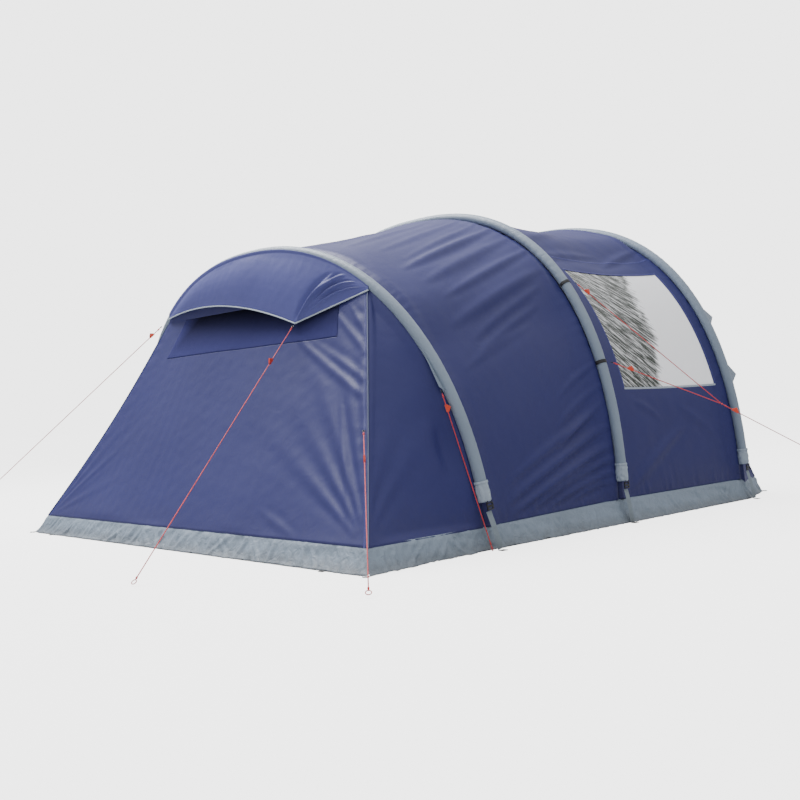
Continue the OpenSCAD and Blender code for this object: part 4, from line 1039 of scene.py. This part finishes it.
# Painted light: the canopy is the navy fly cloth with its colour made over three times brighter, standing in
# for the light that falls on it.
canopy_painted_light_cloth = cloth_material("canopy_painted_light_cloth", **{**navy, "colour": (0.092, 0.100, 0.31)})
piping_cloth = cloth_material("piping_cloth", (0.47, 0.54, 0.62), pitch=0.0006, rough=0.45, size=0.03,
                              crease=0.0004, thread=0.0001)
seam_piping = cloth_material("seam_piping", (0.13, 0.16, 0.26), pitch=0.0006, rough=0.45, size=0.03,
                             crease=0.0004, thread=0.0001)


def canopy_top(s):
    """Where the canopy leaves the front of the sleeve, from right to left."""
    return around_sleeve(s, np.array(-12.0))


def around_sleeve(s, turn):
    """Points on cloth that lies on the front of the sleeve; turn is 0 in front, 90 outside."""
    turn = np.radians(turn)
    radius = SLEEVE_RADIUS + 0.0022
    inset = SLEEVE_RADIUS - radius * np.sin(turn)
    point = arch_turn(0, CANOPY_FROM - 2.5 + (182.5 - 2 * CANOPY_FROM) * s, inset)
    return point - np.stack(np.broadcast_arrays(0, radius * np.cos(turn), 0), axis=-1)


def canopy_edge(s):
    """The free edge: straight to the guyed tip, then bowed up and forward to the far end."""
    drop = np.array([0.006, -0.004, -0.012])
    root = canopy_top(np.array([0.0, 1.0]))
    near, far = root[0] + drop, root[1] + drop * [-1, 1, 1]
    first = near + (CANOPY_TIP - near) * np.clip(s / TIP_SHARE, 0, 1)[..., None]
    t = np.clip((s - TIP_SHARE) / (1 - TIP_SHARE), 0, 1)
    bow = np.stack([0 * t, -0.024 * np.sin(np.pi * t), 0.092 * 4 * t * (1 - t)], axis=-1)
    second = CANOPY_TIP + (far - CANOPY_TIP) * t[..., None] + bow
    return np.where((s <= TIP_SHARE)[..., None], first, second)


s = spaced([0, TIP_SHARE, 1], 0.0052)[:, None]
v = np.append(np.linspace(-0.09, -0.01, 7), np.linspace(0, 1, 46))[None]
flat = canopy_top(s) + (canopy_edge(s) - canopy_top(s)) * np.maximum(v, 0)[..., None]
flat = np.where((v < 0)[..., None], around_sleeve(s + 0 * v, -12 - v * 620 * (0.2 + 0.8 * s)), flat)
swell = np.sin(np.pi * np.maximum(v, 0)) * np.sin(np.pi * s)
flat = flat + swell[..., None] * np.array([0, -0.022, 0.014])
a, b = s * CANOPY_SPAN + 0 * v, v * 0.33 + 0 * s
relief = 0.002 * uneven(a, b, 0.50, 124) + 0.0004 * uneven(a, b, 0.08, 125)
for along, height, width, depth in ((0.27, 0.06, 0.015, 0.024), (0.19, 0.03, 0.014, 0.022),
                                    (0.10, 0.07, 0.013, 0.018), (0.05, 0.15, 0.011, 0.012)):
    relief = relief + fold(a, b, (TIP_SHARE * CANOPY_SPAN, 0.335), (along, height), width, depth)
relief = relief + puckers(b, a, 0.05, 0.002, 126)
relief = relief * smooth(v / 0.12) * smooth((1 - v) / 0.07) * smooth(np.minimum(s, 1 - s) / 0.02)
normal = unit(np.cross(np.gradient(flat, axis=0), np.gradient(flat, axis=1)))
normal = normal * np.sign(-normal[..., 1:2])
canopy = make_piece("canopy_painted_light_cloth", flat + normal * relief[..., None], canopy_painted_light_cloth,
                    thickness=CLOTH_WALL, inside=(0, -0.9, 0.9), stands_for=["canopy"])
edge = canopy_edge(spaced([0, TIP_SHARE, 1], 0.006))
cord = carried(edge + [0, -0.001, -0.002], circle(PIPING_RADIUS, 10), (0, -1, 0.2))
seams = []
for k in (0, 2):
    seam = seam_at(k, np.linspace(HEM + 0.002, SEAM_TOP[k] - 0.01, 120))
    raised = seam + 0.0022 * unit(np.array([1.0, WAY[k], 0.4]))
    line = carried(raised, circle(SEAM_PIPING_RADIUS, 10), (1, 0, 0))
    seams += [line, mirrored(line)]
make_piece("corded_piping", cord, piping_cloth, around=True, caps=True, stands_for=["piping"])
make_piece("corner_piping", seams, seam_piping, around=True, caps=True)

# ---- Mud skirt and groundsheet --------------------------------------------------------------
# A band of grey cloth sewn under the fly all round. It is slack, so it crumples, and its
# cut lower edge turns up in places. The groundsheet is woven polyethylene.
SKIRT_TOP = 0.116
SKIRT_DEPTH = 0.11
SKIRT_TOP_TURN = 0.12
skirt_cloth = cloth_material("skirt_cloth", (0.235, 0.295, 0.375), pitch=0.0009, rough=0.55, size=0.045,
                             crease=0.0035, thread=0.00012, vary=0.10, soil=0.55, soil_height=0.07)
ground_cloth = cloth_material("groundsheet_cloth", (0.065, 0.075, 0.085), pitch=0.0024, rough=0.42,
                              size=0.09, crease=0.003, thread=0.0003, soil=0.4, soil_height=0.05)
hem_foot = half_width + [-0.030, 0.008, -0.018]
top_height = np.array(SKIRT_TOP)
steps = np.linspace(0, 1, 25)
hem_line = [[CORNER[0], HEM_Y[0], 0], [hem_foot[0], station[0] - FLANK, 0]]
top_line = [seam_at(0, top_height),
            arch_at(0, top_height, beside_sleeve(FLANK)) - [0, FLANK, 0]]
for k in (0, 1):
    top_line += list(bay_point(k, np.full(len(steps), SKIRT_TOP_TURN), steps))
    hem_line += [[hem_foot[k] + (hem_foot[k + 1] - hem_foot[k]) * t,
                  station[k] + (station[k + 1] - station[k]) * t, 0] for t in steps]
top_line += [arch_at(2, top_height, beside_sleeve(FLANK)) + [0, FLANK, 0], seam_at(2, top_height)]
hem_line += [[hem_foot[2], station[2] + FLANK, 0], [CORNER[2], HEM_Y[2], 0]]
top_line, hem_line = np.array(top_line), np.array(hem_line)


def skirt_piece(name, top, hem, outward, seed, node):
    """A crumpled band between two polylines of the same number of points. Its creases lean
    this way and that, and its lower edge wanders and kicks out."""
    count = int(np.linalg.norm(np.diff(hem, axis=0), axis=1).sum() / 0.009)
    walk = walked(hem[:, None], 0)[:, 0]
    s = np.linspace(0, walk[-1], count)
    upper_edge = np.stack([np.interp(s, walk, top[:, i]) for i in range(3)], axis=-1)[:, None]
    lower_edge = np.stack([np.interp(s, walk, hem[:, i]) for i in range(3)], axis=-1)[:, None]
    v = np.linspace(0, 1, 17)[None]
    s = s[:, None]
    band_points = upper_edge + (lower_edge - upper_edge) * v[..., None]
    rng = np.random.default_rng(seed)
    relief = 0.0045 * uneven(s, SKIRT_DEPTH * v, 0.16, seed)
    relief = relief + 0.0035 * uneven(s, SKIRT_DEPTH * v, 0.055, seed + 1)
    creases = count // 14
    for place, slope, depth in zip(rng.uniform(0, walk[-1], creases), rng.uniform(-1.6, 1.6, creases),
                                   rng.uniform(0.003, 0.009, creases)):
        offset = (s - place - slope * SKIRT_DEPTH * (v - 0.5)) / np.sqrt(1 + slope ** 2)
        relief = relief + depth * crease_shape(offset / 0.012) * smooth(v * 1.6) * smooth((1.25 - v) * 2)
    relief = relief * smooth(v / 0.22)
    kick = np.clip((v - 0.80) / 0.20, 0, 1) ** 2
    relief = relief + kick * (0.006 + 0.005 * uneven(s, 0 * v, 0.12, seed + 2))
    ragged = 0.004 * np.abs(uneven(s, 0 * v, 0.05, seed + 3)) * kick
    bow = 0.006 * np.sin(np.pi * v)
    points = band_points + np.asarray(outward) * (relief - bow + 0.006 * smooth(v / 0.15) - 0.002)[..., None]
    points[..., 2] = np.maximum(points[..., 2] + ragged, 0.0008)
    piece = make_piece(name, points, skirt_cloth, thickness=0.0014, stands_for=[node])
    return piece


skirt_piece("mud_skirt_right", top_line, hem_line, (1, 0, 0), 131, "skirt_right")
skirt_piece("mud_skirt_left", mirrored(top_line), mirrored(hem_line), (-1, 0, 0), 137, "skirt_left")
for k, name, seed in ((0, "front", 143), (2, "rear", 157)):
    ends = np.linspace(-1, 1, 9)[:, None]
    top = seam_at(k, top_height) * np.hstack([ends, np.ones((9, 2))])
    hem = np.array([CORNER[k], HEM_Y[k], 0]) * np.hstack([ends, np.ones((9, 2))])
    skirt_piece(f"mud_skirt_{name}", top, hem, (0, WAY[k], 0), seed, f"skirt_{name}")

FLOOR_INSET = (0.100, 0.09)
inner = hem_line[:, :2] - [FLOOR_INSET[0], 0]
inner[:, 1] = np.clip(inner[:, 1], HEM_Y[0] + FLOOR_INSET[1], HEM_Y[2] - FLOOR_INSET[1])
y = spaced([inner[0, 1], *station, inner[-1, 1]], 0.03)[:, None]
side = np.interp(y, inner[:, 1], inner[:, 0])
x = side * np.linspace(-1, 1, 100)[None]
z = 0.0030 + 0.0010 * uneven(x, y + 0 * x, 0.30, 161) + 0.0006 * uneven(x, y + 0 * x, 0.09, 162)
floor_sheet = make_piece("groundsheet_cloth", np.stack([x, y + 0 * x, z], axis=-1), ground_cloth,
                         inside=(0, 0, -1), thickness=0.0012, stands_for=["groundsheet"])

# ---- Guy tabs and bands ------------------------------------------------------------------
# Triangles of sleeve cloth spread the pull of the guys at the front and rear sleeves; on
# the middle sleeve black webbing is sewn round the beam instead.
rounded_copy("guy_tabs", "sewn_guy_tabs", 0.0010, sleeve_cloth, "tent")
BAND_HEIGHTS = (1.438, 0.943)
BAND_WIDTH = 0.022
bands = []
for z in BAND_HEIGHTS:
    centre = arch_at(1, np.array(z), SLEEVE_RADIUS)
    up = unit(arch_at(1, np.array(z + 0.010), SLEEVE_RADIUS) - centre)
    out = unit(np.cross((0, 1, 0), up))
    turn = np.radians(np.linspace(-118, 118, 50))[:, None]
    wrapped = centre + (SLEEVE_RADIUS + 0.0019) * (np.cos(turn) * out + np.sin(turn) * np.array([0, 1.0, 0]))
    bands.append(carried(wrapped, band(BAND_WIDTH, 0.0018), up))
make_piece("webbing_bands", bands + [mirrored(g) for g in bands], black_webbing,
           around=True, caps=True, stands_for=["middle_bands"])

# ---- Studio -------------------------------------------------------------------------------
# A plain pale floor and a white surround, with one large soft light high on the left, so
# that the front and roof are lit and the right side is in shade. The floor shines to the
# eye except under the tent, where its glow would show through the door.
SURROUND_SEEN = 3.6
FLOOR_SEEN = 3.1
DARK_HALF_WIDTH = 1.65
DARK_HALF_LENGTH = 2.05
world = bpy.data.worlds.new("surround")
world.use_nodes = True
tree = world.node_tree
up = parts_of(tree, place_of(tree, "Generated"))[2]
dome = ranged(tree, up, -0.05, 0.9, 0.22, 1.45)
seen = put(tree, "LightPath").outputs["Is Camera Ray"]
surround = tree.nodes["Background"].inputs
surround["Color"].default_value = (1.0, 1.0, 1.0, 1.0)
tree.links.new(put(tree, "Mix", {0: seen, 2: dome, 3: SURROUND_SEEN}).outputs[0], surround["Strength"])
bpy.context.scene.world = world


def soft_light(name, place, target, width, power):
    """A square area light that looks at a point."""
    lamp = bpy.data.lights.new(name, "AREA")
    lamp.size = width
    lamp.energy = power
    holder = add_object(name, lamp)
    back = unit(np.subtract(place, target).astype(float))
    side = unit(np.cross((0, 0, 1), back))
    turned_to = Matrix((side, np.cross(back, side), back)).transposed().to_4x4()
    holder.matrix_world = Matrix.Translation(place) @ turned_to


soft_light("key", (-3.8, -1.4, 8.3), (0, -0.3, 1.2), 5.0, 1350)
floor_material, tree, sockets = new_material("pale_floor", Roughness=0.95, Specular_IOR_Level=0.1)
where = place_of(tree, "Object")
spot = parts_of(tree, where)
taper = maths(tree, "MULTIPLY", maths(tree, "MAXIMUM", maths(tree, "SUBTRACT", spot[1], 1.50), 0.0), 0.32)
across = maths(tree, "ADD", maths(tree, "ABSOLUTE", spot[0]), taper)
wide = maths(tree, "GREATER_THAN", across, DARK_HALF_WIDTH)
deep = maths(tree, "GREATER_THAN", maths(tree, "ABSOLUTE", spot[1]), DARK_HALF_LENGTH)
outside = maths(tree, "MULTIPLY", maths(tree, "MAXIMUM", wide, deep), FLOOR_SEEN)
tree.links.new(maths(tree, "MULTIPLY", put(tree, "LightPath").outputs["Is Camera Ray"], outside),
               sockets["Emission Strength"])
sockets["Emission Color"].default_value = (1, 1, 1, 1)
floor_tint = mixed(tree, noise(tree, where, 1.5), (0.46, 0.46, 0.46, 1), (0.50, 0.50, 0.50, 1))
tree.links.new(floor_tint, sockets["Base Color"])
floor_mesh = bpy.data.meshes.new("floor")
reach = 60.0
floor_mesh.from_pydata([(-reach, -reach, 0), (reach, -reach, 0), (reach, reach, 0), (-reach, reach, 0)], [],
                       [(0, 1, 2, 3)])
floor_mesh.materials.append(floor_material)
floor = add_object("floor", floor_mesh)
